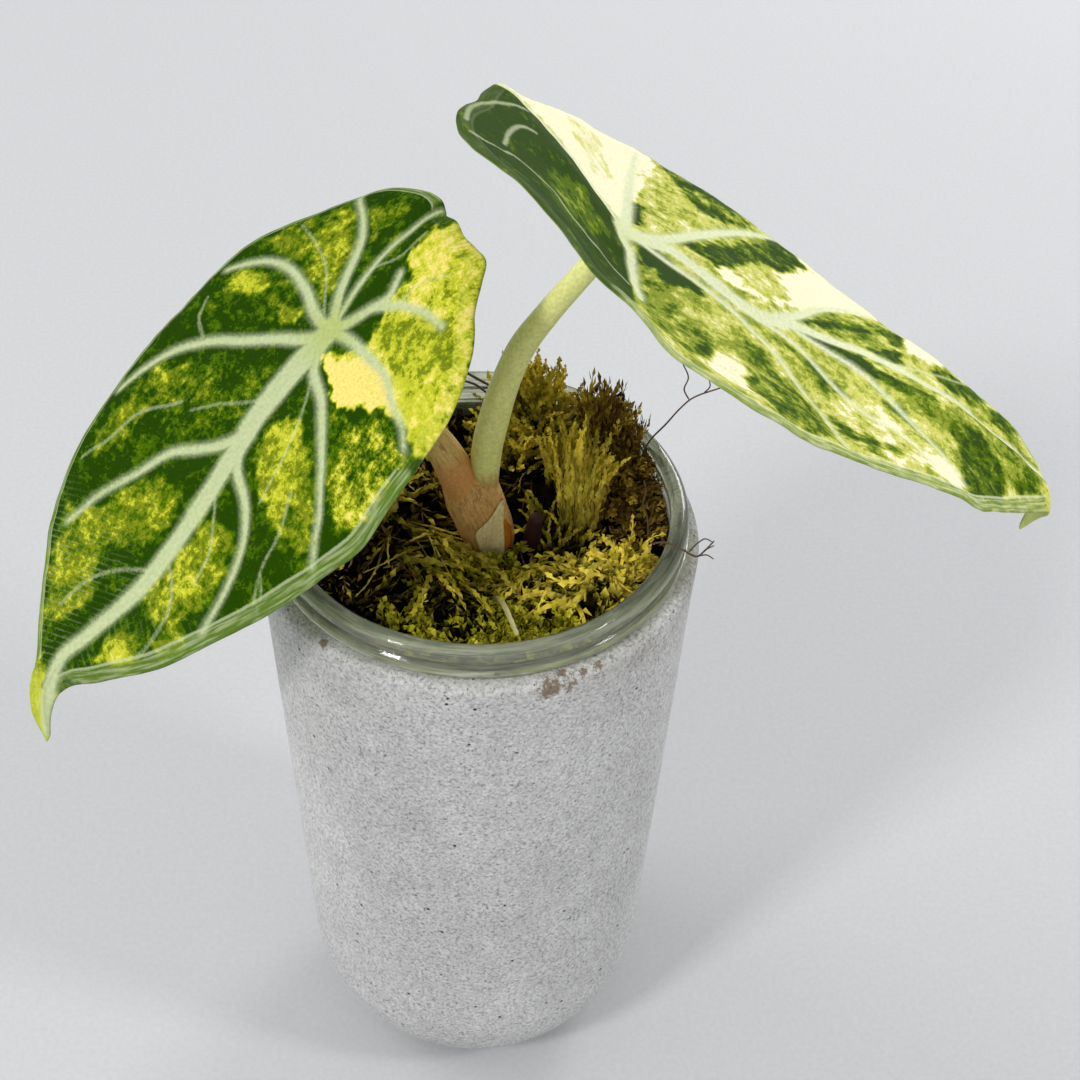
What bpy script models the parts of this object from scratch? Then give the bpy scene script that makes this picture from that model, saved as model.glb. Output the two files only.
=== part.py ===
"""Potted alocasia: two shield-shaped leaves on a short stem, in a clear cup of moss inside a concrete cachepot.

Metres, +Z up. The origin is the middle of the pot's flat foot, and the front of the plant faces -Y.
Sizes below are in millimetres and are turned into metres where the meshes are made.
"""

import math

import bmesh
import bpy
import numpy as np
from mathutils import Vector, noise

MM = 0.001
SEAT = 0.3
TURN_STEPS = 56

# Concrete cachepot
POT_HEIGHT = 165.0
POT_RIM_RADIUS = 50.0
POT_FOOT_TAPER = 8.0
POT_WALL = 5.1
POT_FLOOR = 10.0
POT_FLOOR_ROUND = 4.0
POT_INSIDE_LEVELS = (13.0, 22.0, 34.0, 100.0)
POT_OUTSIDE_LEVELS = (110.0, 60.0)
FOOT_ROUND_WIDTH = 21.0
FOOT_ROUND_HEIGHT = 31.0
LIP_OUTER_ROUND = 2.2
LIP_INNER_ROUND = 1.0

# Clear cup, hung by its lower bead on the lip of the pot
CUP_WALL = 1.2
CUP_NECK_RADIUS = 44.3
CUP_FOOT_RADIUS = 38.0
CUP_DEPTH = 113.0
CUP_FOOT_ROUND = 4.0
UPPER_BEAD_RADIUS = 2.2
LOWER_BEAD_RADIUS = 1.75
UPPER_BEAD_REACH = 47.2
LOWER_BEAD_REACH = 47.5
BEAD_STEP = 4.0
BEAD_OPENING = 58.0
CUP_SEAT_Z = POT_HEIGHT + SEAT

# Moss filling
MOSS_LEVEL = 163.5
MOSS_BUMP = 2.4
MOSS_BUMP_SIZE = 11.0
MOSS_GRAIN = 0.9
MOSS_GRAIN_SIZE = 4.5
MOSS_SHOULDER_Z = 150.0
MOSS_EDGE_DROP = 2.0
MOSS_SECTORS = 44
MOSS_RINGS = (42.6, 41.0, 37.0, 32.0, 26.5, 21.0, 15.5, 9.5, 0.0)
# x, y, height and spread of each hummock
HUMMOCKS = (
    (27.0, -23.0, 6.5, 10.0),
    (19.0, 9.0, 8.0, 9.0),
    (30.0, 22.0, 6.5, 8.0),
    (11.0, 34.0, 9.5, 9.0),
    (-8.0, -30.0, 3.5, 11.0),
    (-26.0, 4.0, 5.0, 13.0),
)

# Short stem: x, y, z and half width of its sections, from the foot in the moss to the fork
STEM_SECTIONS = (
    (3.5, -3.8, 147.0, 3.8),
    (3.5, -3.8, 160.0, 4.1),
    (2.3, -3.8, 166.5, 5.8),
    (0.2, -3.8, 173.5, 6.4),
    (-1.8, -3.8, 180.0, 6.2),
    (-2.6, -3.8, 185.5, 4.6),
)
STEM_FLATTENING = 0.74
STEM_AXIS_Y = -3.8
STEM_CLEARANCE = 0.45

# Petioles: x, y, z and radius from the peg in the stem up towards the leaf
PETIOLE_LEFT_ROUTE = (
    (-1.8, -4.0, 173.0, 1.6),
    (-3.2, -4.0, 178.0, 2.1),
    (-5.5, -4.0, 184.5, 3.1),
    (-8.1, -4.0, 192.3, 3.4),
    (-12.2, -3.9, 198.9, 3.1),
    (-17.6, -3.6, 206.3, 2.8),
    (-24.2, -3.4, 215.0, 2.5),
)
PETIOLE_RIGHT_ROUTE = (
    (2.4, -3.6, 173.0, 1.6),
    (2.1, -3.5, 178.0, 2.1),
    (1.3, -3.3, 186.0, 3.2),
    (1.7, -3.0, 192.0, 3.35),
    (3.1, -2.5, 199.7, 3.3),
    (5.5, -2.0, 209.5, 3.1),
    (8.7, -1.5, 218.3, 2.9),
    (14.1, -1.0, 227.2, 2.65),
    (21.6, 0.1, 237.3, 2.45),
)
PETIOLE_TIP_RADIUS = 2.35
PETIOLE_TO_BLADE = 0.65

# What else stands in the moss: x, y, z and radius along each
OLD_STUB_ROUTE = ((11.4, -3.2, 150.0, 2.1), (11.9, -3.2, 164.0, 2.1), (12.9, -3.4, 172.5, 1.6))
DEAD_TWIG_ROUTE = (
    (18.6, 27.6, 160.0, 0.9),
    (20.2, 28.2, 171.0, 0.9),
    (23.8, 29.2, 177.0, 0.8),
    (28.0, 30.0, 183.5, 0.5),
)
PALE_STALK_ROUTE = ((3.4, -21.0, 163.5, 0.9), (5.0, -27.0, 168.6, 1.0), (8.3, -39.4, 171.0, 0.8))
ROOT_OVER_RIM_ROUTE = (
    (34.4, -11.6, 159.0, 0.45),
    (35.2, -12.6, 167.0, 0.45),
    (37.4, -14.0, 173.2, 0.45),
    (40.6, -15.2, 175.3, 0.45),
    (44.0, -16.8, 174.9, 0.45),
    (47.6, -17.4, 173.2, 0.45),
    (49.4, -15.2, 172.6, 0.4),
    (51.8, -13.4, 174.3, 0.35),
)
RISING_ROOT_ROUTE = (
    (36.4, 17.4, 158.0, 0.5),
    (36.9, 17.7, 168.0, 0.5),
    (39.0, 18.0, 175.6, 0.5),
    (42.5, 18.0, 180.9, 0.5),
    (45.5, 18.0, 185.7, 0.45),
    (47.3, 18.0, 188.0, 0.45),
    (54.6, 18.2, 191.8, 0.4),
)
ROOT_BRANCH_ROUTE = (
    (47.3, 18.0, 188.0, 0.42),
    (45.9, 18.0, 191.2, 0.42),
    (46.6, 18.0, 194.4, 0.4),
    (45.0, 18.2, 198.6, 0.35),
)

# Leaf blades
BLADE_THICKNESS = 0.8
RIDGE_SOFTNESS = 3.0
REAR_SOFTNESS = 7.0
EDGE_BAND = 0.86
SECTORS_PER_POINT = 2
RING_REACHES = (0.0, 0.14, 0.3, 0.46, 0.62, 0.76, 0.86, 0.94, 1.0)

LEFT_LEAF = {
    "hub": (-30.8, -4.4, 224.6),
    "heading": 218.6,
    "droop": 39.4,
    "roll": 9.6,
    # Round the outline from the tip: across the blade, along it from the hub, and lift of the margin
    "outline": (
        (-0.2, 105.0, 0.1), (2.4, 104.3, 0.0), (6.1, 102.8, 0.1), (9.0, 99.6, -0.2), (12.4, 94.8, -0.1),
        (18.7, 87.6, 0.1), (25.9, 78.4, 0.1), (32.5, 69.0, 0.0), (37.4, 59.5, -0.1), (40.6, 50.6, 0.0),
        (42.4, 40.9, 0.0), (43.3, 32.3, 0.1), (43.4, 26.5, 0.2), (43.6, 19.1, -0.3), (42.6, 7.8, 0.0),
        (40.3, -3.8, 0.2), (33.2, -14.5, 0.0), (26.3, -23.3, -0.2), (19.7, -30.5, 0.0), (13.3, -33.6, 0.0),
        (7.3, -35.0, 0.0), (2.2, -34.8, -0.1), (-1.6, -33.0, -0.1), (-5.4, -33.3, 0.0), (-12.0, -31.7, 0.1),
        (-17.6, -31.2, -0.1), (-22.7, -30.4, -0.1), (-26.4, -26.6, 0.0), (-30.7, -21.5, 0.1),
        (-36.6, -16.6, 0.1), (-40.9, -10.6, 0.0), (-43.7, -2.3, -0.1), (-43.4, 7.6, 0.0), (-43.0, 18.6, 0.2),
        (-41.9, 28.1, 0.0), (-36.9, 38.2, 0.0), (-30.1, 50.9, -0.1), (-22.1, 63.6, 0.0), (-13.6, 76.5, 0.1),
        (-3.1, 87.8, 0.0), (2.9, 93.9, 0.0), (3.9, 97.6, -0.1), (3.0, 100.6, -0.1),
    ),
    # Sideways place of the midrib and of the rear seam, at stations along the blade
    "midrib": (
        (-36.0, 0.0), (-20.0, 2.0), (0.0, 0.0), (30.0, 1.4), (59.0, -0.3), (70.0, 1.2), (81.0, 4.6),
        (90.0, 6.6), (98.7, 5.4), (105.0, -0.2),
    ),
    # Height of the midrib over the hub's plane, at stations along the blade
    "spine": (
        (-40.0, -4.1), (-20.0, -1.0), (0.0, 0.0), (30.0, -0.5), (60.0, -1.6), (90.0, -3.1), (106.0, -3.9),
    ),
    # Slope and curl of each half, and what its rear lobe adds to the slope
    "rise": (0.0, 0.0),
    "cup": (0.0005, 0.0005),
    "rear_rise": (0.0, -0.007),
    "twist": 0.00295,
    "edge_drop": 1.3,
    # Where the drip tip starts to bend down, its radius and how far it turns
    "tip_bend": (90.0, 400.0, 10.0),
}
RIGHT_LEAF = {
    "hub": (28.3, 1.1, 246.6),
    "heading": -9.2,
    "droop": 32.0,
    "roll": -10.9,
    "outline": (
        (0.6, 119.8, 0.6), (2.4, 112.5, 1.7), (8.3, 108.4, 1.2), (14.9, 101.1, -0.1), (22.1, 93.8, 0.0),
        (30.6, 84.6, -0.1), (34.7, 76.5, 0.0), (38.3, 66.8, 0.1), (41.9, 57.9, 0.2), (46.3, 47.9, 0.4),
        (50.9, 37.9, -0.3), (53.5, 27.9, -0.6), (53.8, 17.7, -0.3), (52.7, 7.4, 0.7), (50.7, -2.9, 1.5),
        (47.7, -12.8, -0.9), (43.5, -22.8, -0.4), (38.6, -31.7, 0.6), (33.9, -38.4, 0.1), (27.5, -42.4, -0.3),
        (19.6, -43.7, 0.1), (11.0, -42.1, 0.0), (4.1, -39.5, 0.0), (-1.5, -38.6, 0.0), (-8.1, -37.0, 0.3),
        (-13.7, -34.9, 0.7), (-20.0, -28.6, 0.1), (-30.9, -20.8, -0.3), (-41.5, -12.9, -0.1),
        (-50.1, -5.1, 0.2), (-54.2, 4.2, 0.3), (-54.0, 14.7, -0.2), (-51.2, 27.8, -0.3), (-48.3, 41.3, -0.2),
        (-42.8, 53.8, -0.4), (-35.0, 63.9, -0.1), (-28.8, 71.5, 0.0), (-25.7, 83.1, 0.4), (-24.2, 93.6, 0.6),
        (-19.2, 102.9, 1.3), (-9.8, 108.0, 1.0), (-3.0, 111.5, 1.0),
    ),
    "midrib": (
        (-35.0, -13.0), (-20.0, -10.0), (-9.0, -7.0), (0.0, 0.0), (20.0, 0.0), (40.0, -1.0), (60.0, -6.0),
        (80.0, -5.5), (100.0, -5.5), (108.0, -2.0), (119.8, 0.6),
    ),
    "spine": ((-42.0, 8.9), (-20.0, 5.8), (0.0, 0.0), (25.0, 1.7), (50.0, 2.2), (75.0, 5.5), (104.0, 3.5)),
    "rise": (-0.174, -0.103),
    "cup": (0.00533, 0.00074),
    "rear_rise": (0.089, -0.026),
    "twist": -0.00031,
    "edge_drop": 0.8,
    "tip_bend": (108.0, 3.2, 84.0),
}


def clear_scene():
    for scene_object in list(bpy.data.objects):
        bpy.data.objects.remove(scene_object, do_unlink=True)


def add_collection(name):
    collection = bpy.data.collections.new(name)
    bpy.context.scene.collection.children.link(collection)
    return collection


def add_material(name, colour, roughness, alpha=1.0, transmission=0.0):
    material = bpy.data.materials.new(name)
    material.use_nodes = True
    surface = material.node_tree.nodes["Principled BSDF"]
    surface.inputs["Base Color"].default_value = (*colour, 1.0)
    surface.inputs["Roughness"].default_value = roughness
    surface.inputs["Metallic"].default_value = 0.0
    surface.inputs["Alpha"].default_value = alpha
    surface.inputs["Transmission Weight"].default_value = transmission
    return material


def smooth_through(stations, values, where):
    """A cubic curve through values at rising stations, read at the stations in where."""
    stations = np.asarray(stations, dtype=float)
    values = np.asarray(values, dtype=float).reshape(len(stations), -1)
    where = np.asarray(where, dtype=float)
    steps = np.diff(stations)
    rises = np.diff(values, axis=0) / steps[:, None]
    slopes = np.empty_like(values)
    before = steps[:-1, None]
    after = steps[1:, None]
    slopes[1:-1] = (rises[:-1] * after + rises[1:] * before) / (before + after)
    slopes[0] = rises[0]
    slopes[-1] = rises[-1]
    span = np.clip(np.searchsorted(stations, where, side="right") - 1, 0, len(steps) - 1)
    length = steps[span][:, None]
    t = ((where - stations[span])[:, None]) / length
    start_share = (1.0 + 2.0 * t) * (1.0 - t) ** 2
    end_share = t ** 2 * (3.0 - 2.0 * t)
    start_turn = t * (1.0 - t) ** 2 * length
    end_turn = t ** 2 * (t - 1.0) * length
    return (start_share * values[span] + end_share * values[span + 1]
            + start_turn * slopes[span] + end_turn * slopes[span + 1])


def chord_stations(points):
    lengths = np.linalg.norm(np.diff(np.asarray(points, dtype=float)[:, :3], axis=0), axis=1)
    return np.concatenate(([0.0], np.cumsum(lengths)))


def arc(centre, radius, start, end, count):
    """Points of a round stretch, angles in degrees from +X towards +Z."""
    angles = np.radians(np.linspace(start, end, count))
    return [(centre[0] + radius * math.cos(a), centre[1] + radius * math.sin(a)) for a in angles]


def shade_round(scene_object, angle=40.0):
    scene_object.data.shade_smooth()
    scene_object.data.set_sharp_from_angle(angle=math.radians(angle))


def turned(name, profile, collection, material):
    """A turned piece: a half section in millimetres, screwed round the Z axis."""
    mesh = bpy.data.meshes.new(name)
    points = [(x * MM, 0.0, z * MM) for x, z in profile]
    edges = [(i, i + 1) for i in range(len(points) - 1)]
    mesh.from_pydata(points, edges, [])
    piece = bpy.data.objects.new(name, mesh)
    collection.objects.link(piece)
    screw = piece.modifiers.new("Screw", "SCREW")
    screw.steps = TURN_STEPS
    screw.render_steps = TURN_STEPS
    screw.use_merge_vertices = True
    screw.merge_threshold = 0.00001
    screw.use_smooth_shade = True
    mesh.materials.append(material)
    return piece


def pot_radius(z):
    """Outer radius of the pot at a height: a straight taper, drawn in by a quarter ellipse at the foot."""
    radius = POT_RIM_RADIUS - POT_FOOT_TAPER * (POT_HEIGHT - z) / POT_HEIGHT
    if z < FOOT_ROUND_HEIGHT:
        drop = (FOOT_ROUND_HEIGHT - z) / FOOT_ROUND_HEIGHT
        radius -= FOOT_ROUND_WIDTH * (1.0 - math.sqrt(max(0.0, 1.0 - drop ** 2)))
    return radius


def build_pot(collection):
    inner = [(0.0, POT_FLOOR), (pot_radius(POT_FLOOR) - POT_WALL - POT_FLOOR_ROUND, POT_FLOOR)]
    inner += [(pot_radius(z) - POT_WALL, z) for z in POT_INSIDE_LEVELS]
    mouth = POT_RIM_RADIUS - POT_WALL
    lip = arc((mouth + LIP_INNER_ROUND, POT_HEIGHT - LIP_INNER_ROUND), LIP_INNER_ROUND, 180.0, 90.0, 3)
    lip += arc((POT_RIM_RADIUS - LIP_OUTER_ROUND, POT_HEIGHT - LIP_OUTER_ROUND), LIP_OUTER_ROUND, 90.0, 0.0, 5)
    outer = [(pot_radius(z), z) for z in POT_OUTSIDE_LEVELS]
    turns = np.linspace(0.0, math.pi / 2.0, 8)
    foot = [(pot_radius(z), z) for z in FOOT_ROUND_HEIGHT * (1.0 - np.sin(turns))]
    profile = inner + lip + outer + foot + [(0.0, 0.0)]
    return turned("concrete_pot", profile, collection, add_material("concrete", (0.52, 0.51, 0.50), 0.9))


def cup_radius(z):
    """Outer radius of the cup's plain wall at a height."""
    share = (CUP_SEAT_Z - z) / CUP_DEPTH
    return CUP_NECK_RADIUS + (CUP_FOOT_RADIUS - CUP_NECK_RADIUS) * share


def cup_floor():
    return CUP_SEAT_Z - CUP_DEPTH


def upper_bead_centre():
    z = CUP_SEAT_Z + LOWER_BEAD_RADIUS + BEAD_STEP
    return UPPER_BEAD_REACH - UPPER_BEAD_RADIUS, z


def build_cup(collection):
    floor = cup_floor()
    wall_foot = floor + CUP_FOOT_ROUND
    foot_centre = (cup_radius(wall_foot) - CUP_FOOT_ROUND, wall_foot)
    inside = [(0.0, floor + CUP_WALL)]
    inside += arc(foot_centre, CUP_FOOT_ROUND - CUP_WALL, 270.0, 360.0, 3)
    neck = CUP_NECK_RADIUS - CUP_WALL
    upper = upper_bead_centre()
    entry = math.degrees(math.acos((neck - upper[0]) / UPPER_BEAD_RADIUS))
    inside += [(neck, CUP_SEAT_Z)]
    upper_bead = arc(upper, UPPER_BEAD_RADIUS, entry, -BEAD_OPENING, 9)
    lower_centre = (LOWER_BEAD_REACH - LOWER_BEAD_RADIUS, CUP_SEAT_Z + LOWER_BEAD_RADIUS)
    lower_bead = arc(lower_centre, LOWER_BEAD_RADIUS, BEAD_OPENING, -90.0, 7)
    outside = [(CUP_NECK_RADIUS, CUP_SEAT_Z), (cup_radius(wall_foot), wall_foot)]
    outside += arc(foot_centre, CUP_FOOT_ROUND, 0.0, -90.0, 4)[1:]
    profile = inside + upper_bead + lower_bead + outside + [(0.0, floor)]
    plastic = add_material("clear_plastic", (0.86, 0.90, 0.88), 0.08, alpha=0.45, transmission=0.8)
    return turned("clear_cup", profile, collection, plastic)


def moss_height(x, y):
    """Height of the moss over a place inside the cup."""
    place = Vector((x / MOSS_BUMP_SIZE, y / MOSS_BUMP_SIZE, 0.37))
    grain = Vector((x / MOSS_GRAIN_SIZE, y / MOSS_GRAIN_SIZE, 5.2))
    height = MOSS_LEVEL + MOSS_BUMP * noise.noise(place) + MOSS_GRAIN * noise.noise(grain)
    for centre_x, centre_y, rise, spread in HUMMOCKS:
        away = (x - centre_x) ** 2 + (y - centre_y) ** 2
        height += rise * math.exp(-away / spread ** 2)
    return height


def wrap_grid(mesh_name, columns, rows, place):
    """A skin from a grid wrapped round: place(turn, row) gives each point, and doubles are welded."""
    skin = bmesh.new()
    bmesh.ops.create_grid(skin, x_segments=columns, y_segments=rows, size=1.0)
    for vertex in skin.verts:
        turn = (vertex.co.x + 1.0) / 2.0
        row = round((vertex.co.y + 1.0) / 2.0 * rows)
        vertex.co = place(turn, row)
    bmesh.ops.remove_doubles(skin, verts=skin.verts, dist=0.00001)
    bmesh.ops.triangulate(skin, faces=skin.faces, quad_method="FIXED")
    mesh = bpy.data.meshes.new(mesh_name)
    skin.to_mesh(mesh)
    skin.free()
    return mesh


def build_moss(collection):
    floor = cup_floor() + CUP_WALL + SEAT
    foot_radius = cup_radius(floor + CUP_FOOT_ROUND) - CUP_FOOT_ROUND
    skirt = [(0.0, floor), (foot_radius, floor)]
    skirt += [(cup_radius(z) - CUP_WALL - SEAT, z) for z in (floor + CUP_FOOT_ROUND, MOSS_SHOULDER_Z)]
    rows = len(skirt) + len(MOSS_RINGS) - 1

    def place(turn, row):
        angle = 2.0 * math.pi * (turn % 1.0)
        if row < len(skirt):
            radius, z = skirt[row]
            return Vector((radius * math.cos(angle), radius * math.sin(angle), z)) * MM
        ring = row - len(skirt)
        x = MOSS_RINGS[ring] * math.cos(angle)
        y = MOSS_RINGS[ring] * math.sin(angle)
        z = moss_height(x, y)
        if ring == 0:
            z -= MOSS_EDGE_DROP
        return Vector((x, y, z)) * MM

    mesh = wrap_grid("moss", MOSS_SECTORS, rows, place)
    mesh.materials.append(add_material("moss_green", (0.17, 0.19, 0.05), 0.95))
    piece = bpy.data.objects.new("moss", mesh)
    collection.objects.link(piece)
    shade_round(piece, 60.0)
    return piece


def tube(name, route, collection, material, count, extra=0.0, resolution=2):
    """A tapering tube as a curve: route holds x, y, z and radius, extra widens and lengthens it."""
    stations = chord_stations(route)
    where = np.linspace(0.0, stations[-1], count)
    smooth = smooth_through(stations, route, where)
    points = smooth[:, :3].copy()
    radii = smooth[:, 3] + extra
    if extra:
        first = points[0] - points[1]
        points[0] += first / np.linalg.norm(first) * extra
        last = points[-1] - points[-2]
        points[-1] += last / np.linalg.norm(last) * extra
    curve = bpy.data.curves.new(name, "CURVE")
    curve.dimensions = "3D"
    curve.bevel_depth = float(radii.max()) * MM
    curve.bevel_resolution = resolution
    curve.use_fill_caps = True
    spline = curve.splines.new("POLY")
    spline.points.add(count - 1)
    for point, place, radius in zip(spline.points, points, radii):
        point.co = (*(float(c) * MM for c in place), 1.0)
        point.radius = float(radius / radii.max())
    piece = bpy.data.objects.new(name, curve)
    curve.materials.append(material)
    collection.objects.link(piece)
    return piece


def as_mesh(curve_object, collection):
    """The curve's tube as a mesh object with its caps welded, in place of the curve."""
    graph = bpy.context.evaluated_depsgraph_get()
    mesh = bpy.data.meshes.new_from_object(curve_object.evaluated_get(graph))
    welded = bmesh.new()
    welded.from_mesh(mesh)
    bmesh.ops.remove_doubles(welded, verts=welded.verts, dist=0.00001)
    bmesh.ops.recalc_face_normals(welded, faces=welded.faces)
    welded.to_mesh(mesh)
    welded.free()
    name = curve_object.name
    piece = bpy.data.objects.new(name, mesh)
    piece.matrix_world = curve_object.matrix_world
    bpy.data.objects.remove(curve_object, do_unlink=True)
    piece.name = name
    collection.objects.link(piece)
    return piece


def flatten_stem(piece):
    """The stem is wider than deep, because two petioles spring from it side by side."""
    for vertex in piece.data.vertices:
        offset = vertex.co.y - STEM_AXIS_Y * MM
        vertex.co.y = STEM_AXIS_Y * MM + offset * STEM_FLATTENING


def cut(piece, cutter):
    boolean = piece.modifiers.new("Clear " + cutter.name, "BOOLEAN")
    boolean.operation = "DIFFERENCE"
    boolean.solver = "EXACT"
    boolean.object = cutter


def add_cutter(name, route, cutters, count, extra=SEAT, resolution=2, flatten=False):
    """A wider copy of a piece that stands in another, which clears its hole."""
    plain = add_material(name, (0.8, 0.2, 0.2), 0.5)
    cutter = as_mesh(tube(name, route, cutters, plain, count, extra, resolution), cutters)
    if flatten:
        flatten_stem(cutter)
    cutter.hide_render = True
    cutter.display_type = "WIRE"
    return cutter


def leaf_axes(leaf):
    """Directions across the blade, along it towards the tip, and out of its upper face."""
    heading = math.radians(leaf["heading"])
    droop = math.radians(leaf["droop"])
    roll = math.radians(leaf["roll"])
    ahead = np.array([math.cos(heading), math.sin(heading), 0.0])
    above = np.array([0.0, 0.0, 1.0])
    along = ahead * math.cos(droop) - above * math.sin(droop)
    level_up = ahead * math.sin(droop) + above * math.cos(droop)
    level_across = np.cross(along, level_up)
    up = level_up * math.cos(roll) + level_across * math.sin(roll)
    across = np.cross(along, up)
    return across, along, up


def leaf_outline(leaf, per_point):
    """The closed outline, smoothed, with per_point samples for each of its points."""
    points = np.array(leaf["outline"])
    around = np.vstack((points[-3:], points, points[:4]))
    stations = chord_stations(around)
    spans = stations[3:3 + len(points) + 1]
    stretches = [np.linspace(a, b, per_point, endpoint=False) for a, b in zip(spans[:-1], spans[1:])]
    where = np.concatenate(stretches)
    return smooth_through(stations, around, where)


def blade_height(leaf, across, along, reach, lift):
    """Height of the upper face over the hub's plane; reach is 0 at the hub and 1 at the margin."""
    along = np.minimum(along, leaf["spine"][-1][0])
    stations = [s for s, _ in leaf["spine"]]
    heights = [h for _, h in leaf["spine"]]
    height = smooth_through(stations, heights, along)[:, 0]
    first_side = across > 0.0
    ridge = np.sqrt(across ** 2 + RIDGE_SOFTNESS ** 2) - RIDGE_SOFTNESS
    rear = 1.0 / (1.0 + np.exp(along / REAR_SOFTNESS))
    height += np.where(first_side, leaf["cup"][0], leaf["cup"][1]) * across ** 2
    height += np.where(first_side, leaf["rise"][0], leaf["rise"][1]) * ridge
    height += np.where(first_side, leaf["rear_rise"][0], leaf["rear_rise"][1]) * ridge * rear
    height += leaf["twist"] * across * along
    height += lift * reach ** 3
    edge = np.clip((reach - EDGE_BAND) / (1.0 - EDGE_BAND), 0.0, 1.0)
    return height - leaf["edge_drop"] * edge ** 2


def bend_tip(leaf, along):
    """Where the drip tip bends down: the reach along the blade and the drop below it."""
    start, radius, limit = leaf["tip_bend"]
    limit = math.radians(limit)
    beyond = np.maximum(along - start, 0.0)
    angle = np.minimum(beyond / radius, limit)
    straight = beyond - angle * radius
    reach_along = np.minimum(along, start) + radius * np.sin(angle) + straight * math.cos(limit)
    return reach_along, radius * (1.0 - np.cos(angle)) + straight * math.sin(limit)


def blade_point(leaf, across, along, reach, lift):
    """A point of the upper face, in millimetres."""
    height = blade_height(leaf, np.array([across]), np.array([along]), np.array([reach]), np.array([lift]))[0]
    reach_along, drop = bend_tip(leaf, along)
    side, ahead, up = leaf_axes(leaf)
    return np.array(leaf["hub"]) + side * across + ahead * reach_along + up * (height - drop)


def midrib_place(leaf, along):
    """Sideways place of the midrib at a station along the blade."""
    stations = [s for s, _ in leaf["midrib"]]
    places = [p for _, p in leaf["midrib"]]
    return float(smooth_through(stations, places, np.array([along]))[0, 0])


def build_leaf(name, leaf, collection, colour):
    outline = leaf_outline(leaf, SECTORS_PER_POINT)
    sectors = len(outline)
    up = leaf_axes(leaf)[2]

    def place(turn, row):
        sector = round(turn * sectors) % sectors
        reach = RING_REACHES[row]
        margin_across, margin_along, lift = outline[sector]
        from_midrib = margin_across - midrib_place(leaf, margin_along)
        along = margin_along * reach
        across = from_midrib * reach + midrib_place(leaf, along)
        return Vector(blade_point(leaf, across, along, reach, lift)) * MM

    mesh = wrap_grid(name, sectors, len(RING_REACHES) - 1, place)
    mesh.materials.append(add_material(name, colour, 0.45))
    piece = bpy.data.objects.new(name, mesh)
    collection.objects.link(piece)
    outward = Vector(up)
    if sum((p.normal.dot(outward) for p in mesh.polygons)) < 0.0:
        mesh.flip_normals()
    shade_round(piece, 50.0)
    solid = piece.modifiers.new("Blade thickness", "SOLIDIFY")
    solid.thickness = BLADE_THICKNESS * MM
    solid.offset = -1.0
    return piece


def petiole_route(route, leaf):
    """The petiole's route with its last point just under the hub of its leaf."""
    up = leaf_axes(leaf)[2]
    end = np.array(leaf["hub"]) - up * (BLADE_THICKNESS + PETIOLE_TO_BLADE)
    return route + ((*end, PETIOLE_TIP_RADIUS),)


def build_rising_root(collection, material):
    """A thin root with one side branch, which grow as one."""
    root = as_mesh(tube("root_rising", RISING_ROOT_ROUTE, collection, material, 18, resolution=1), collection)
    branch = as_mesh(tube("root_branch", ROOT_BRANCH_ROUTE, collection, material, 8, resolution=1), collection)
    union = root.modifiers.new("Branch", "BOOLEAN")
    union.operation = "UNION"
    union.solver = "EXACT"
    union.object = branch
    graph = bpy.context.evaluated_depsgraph_get()
    joined = bpy.data.meshes.new_from_object(root.evaluated_get(graph))
    root.modifiers.clear()
    root.data = joined
    bpy.data.objects.remove(branch, do_unlink=True)
    return root


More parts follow.
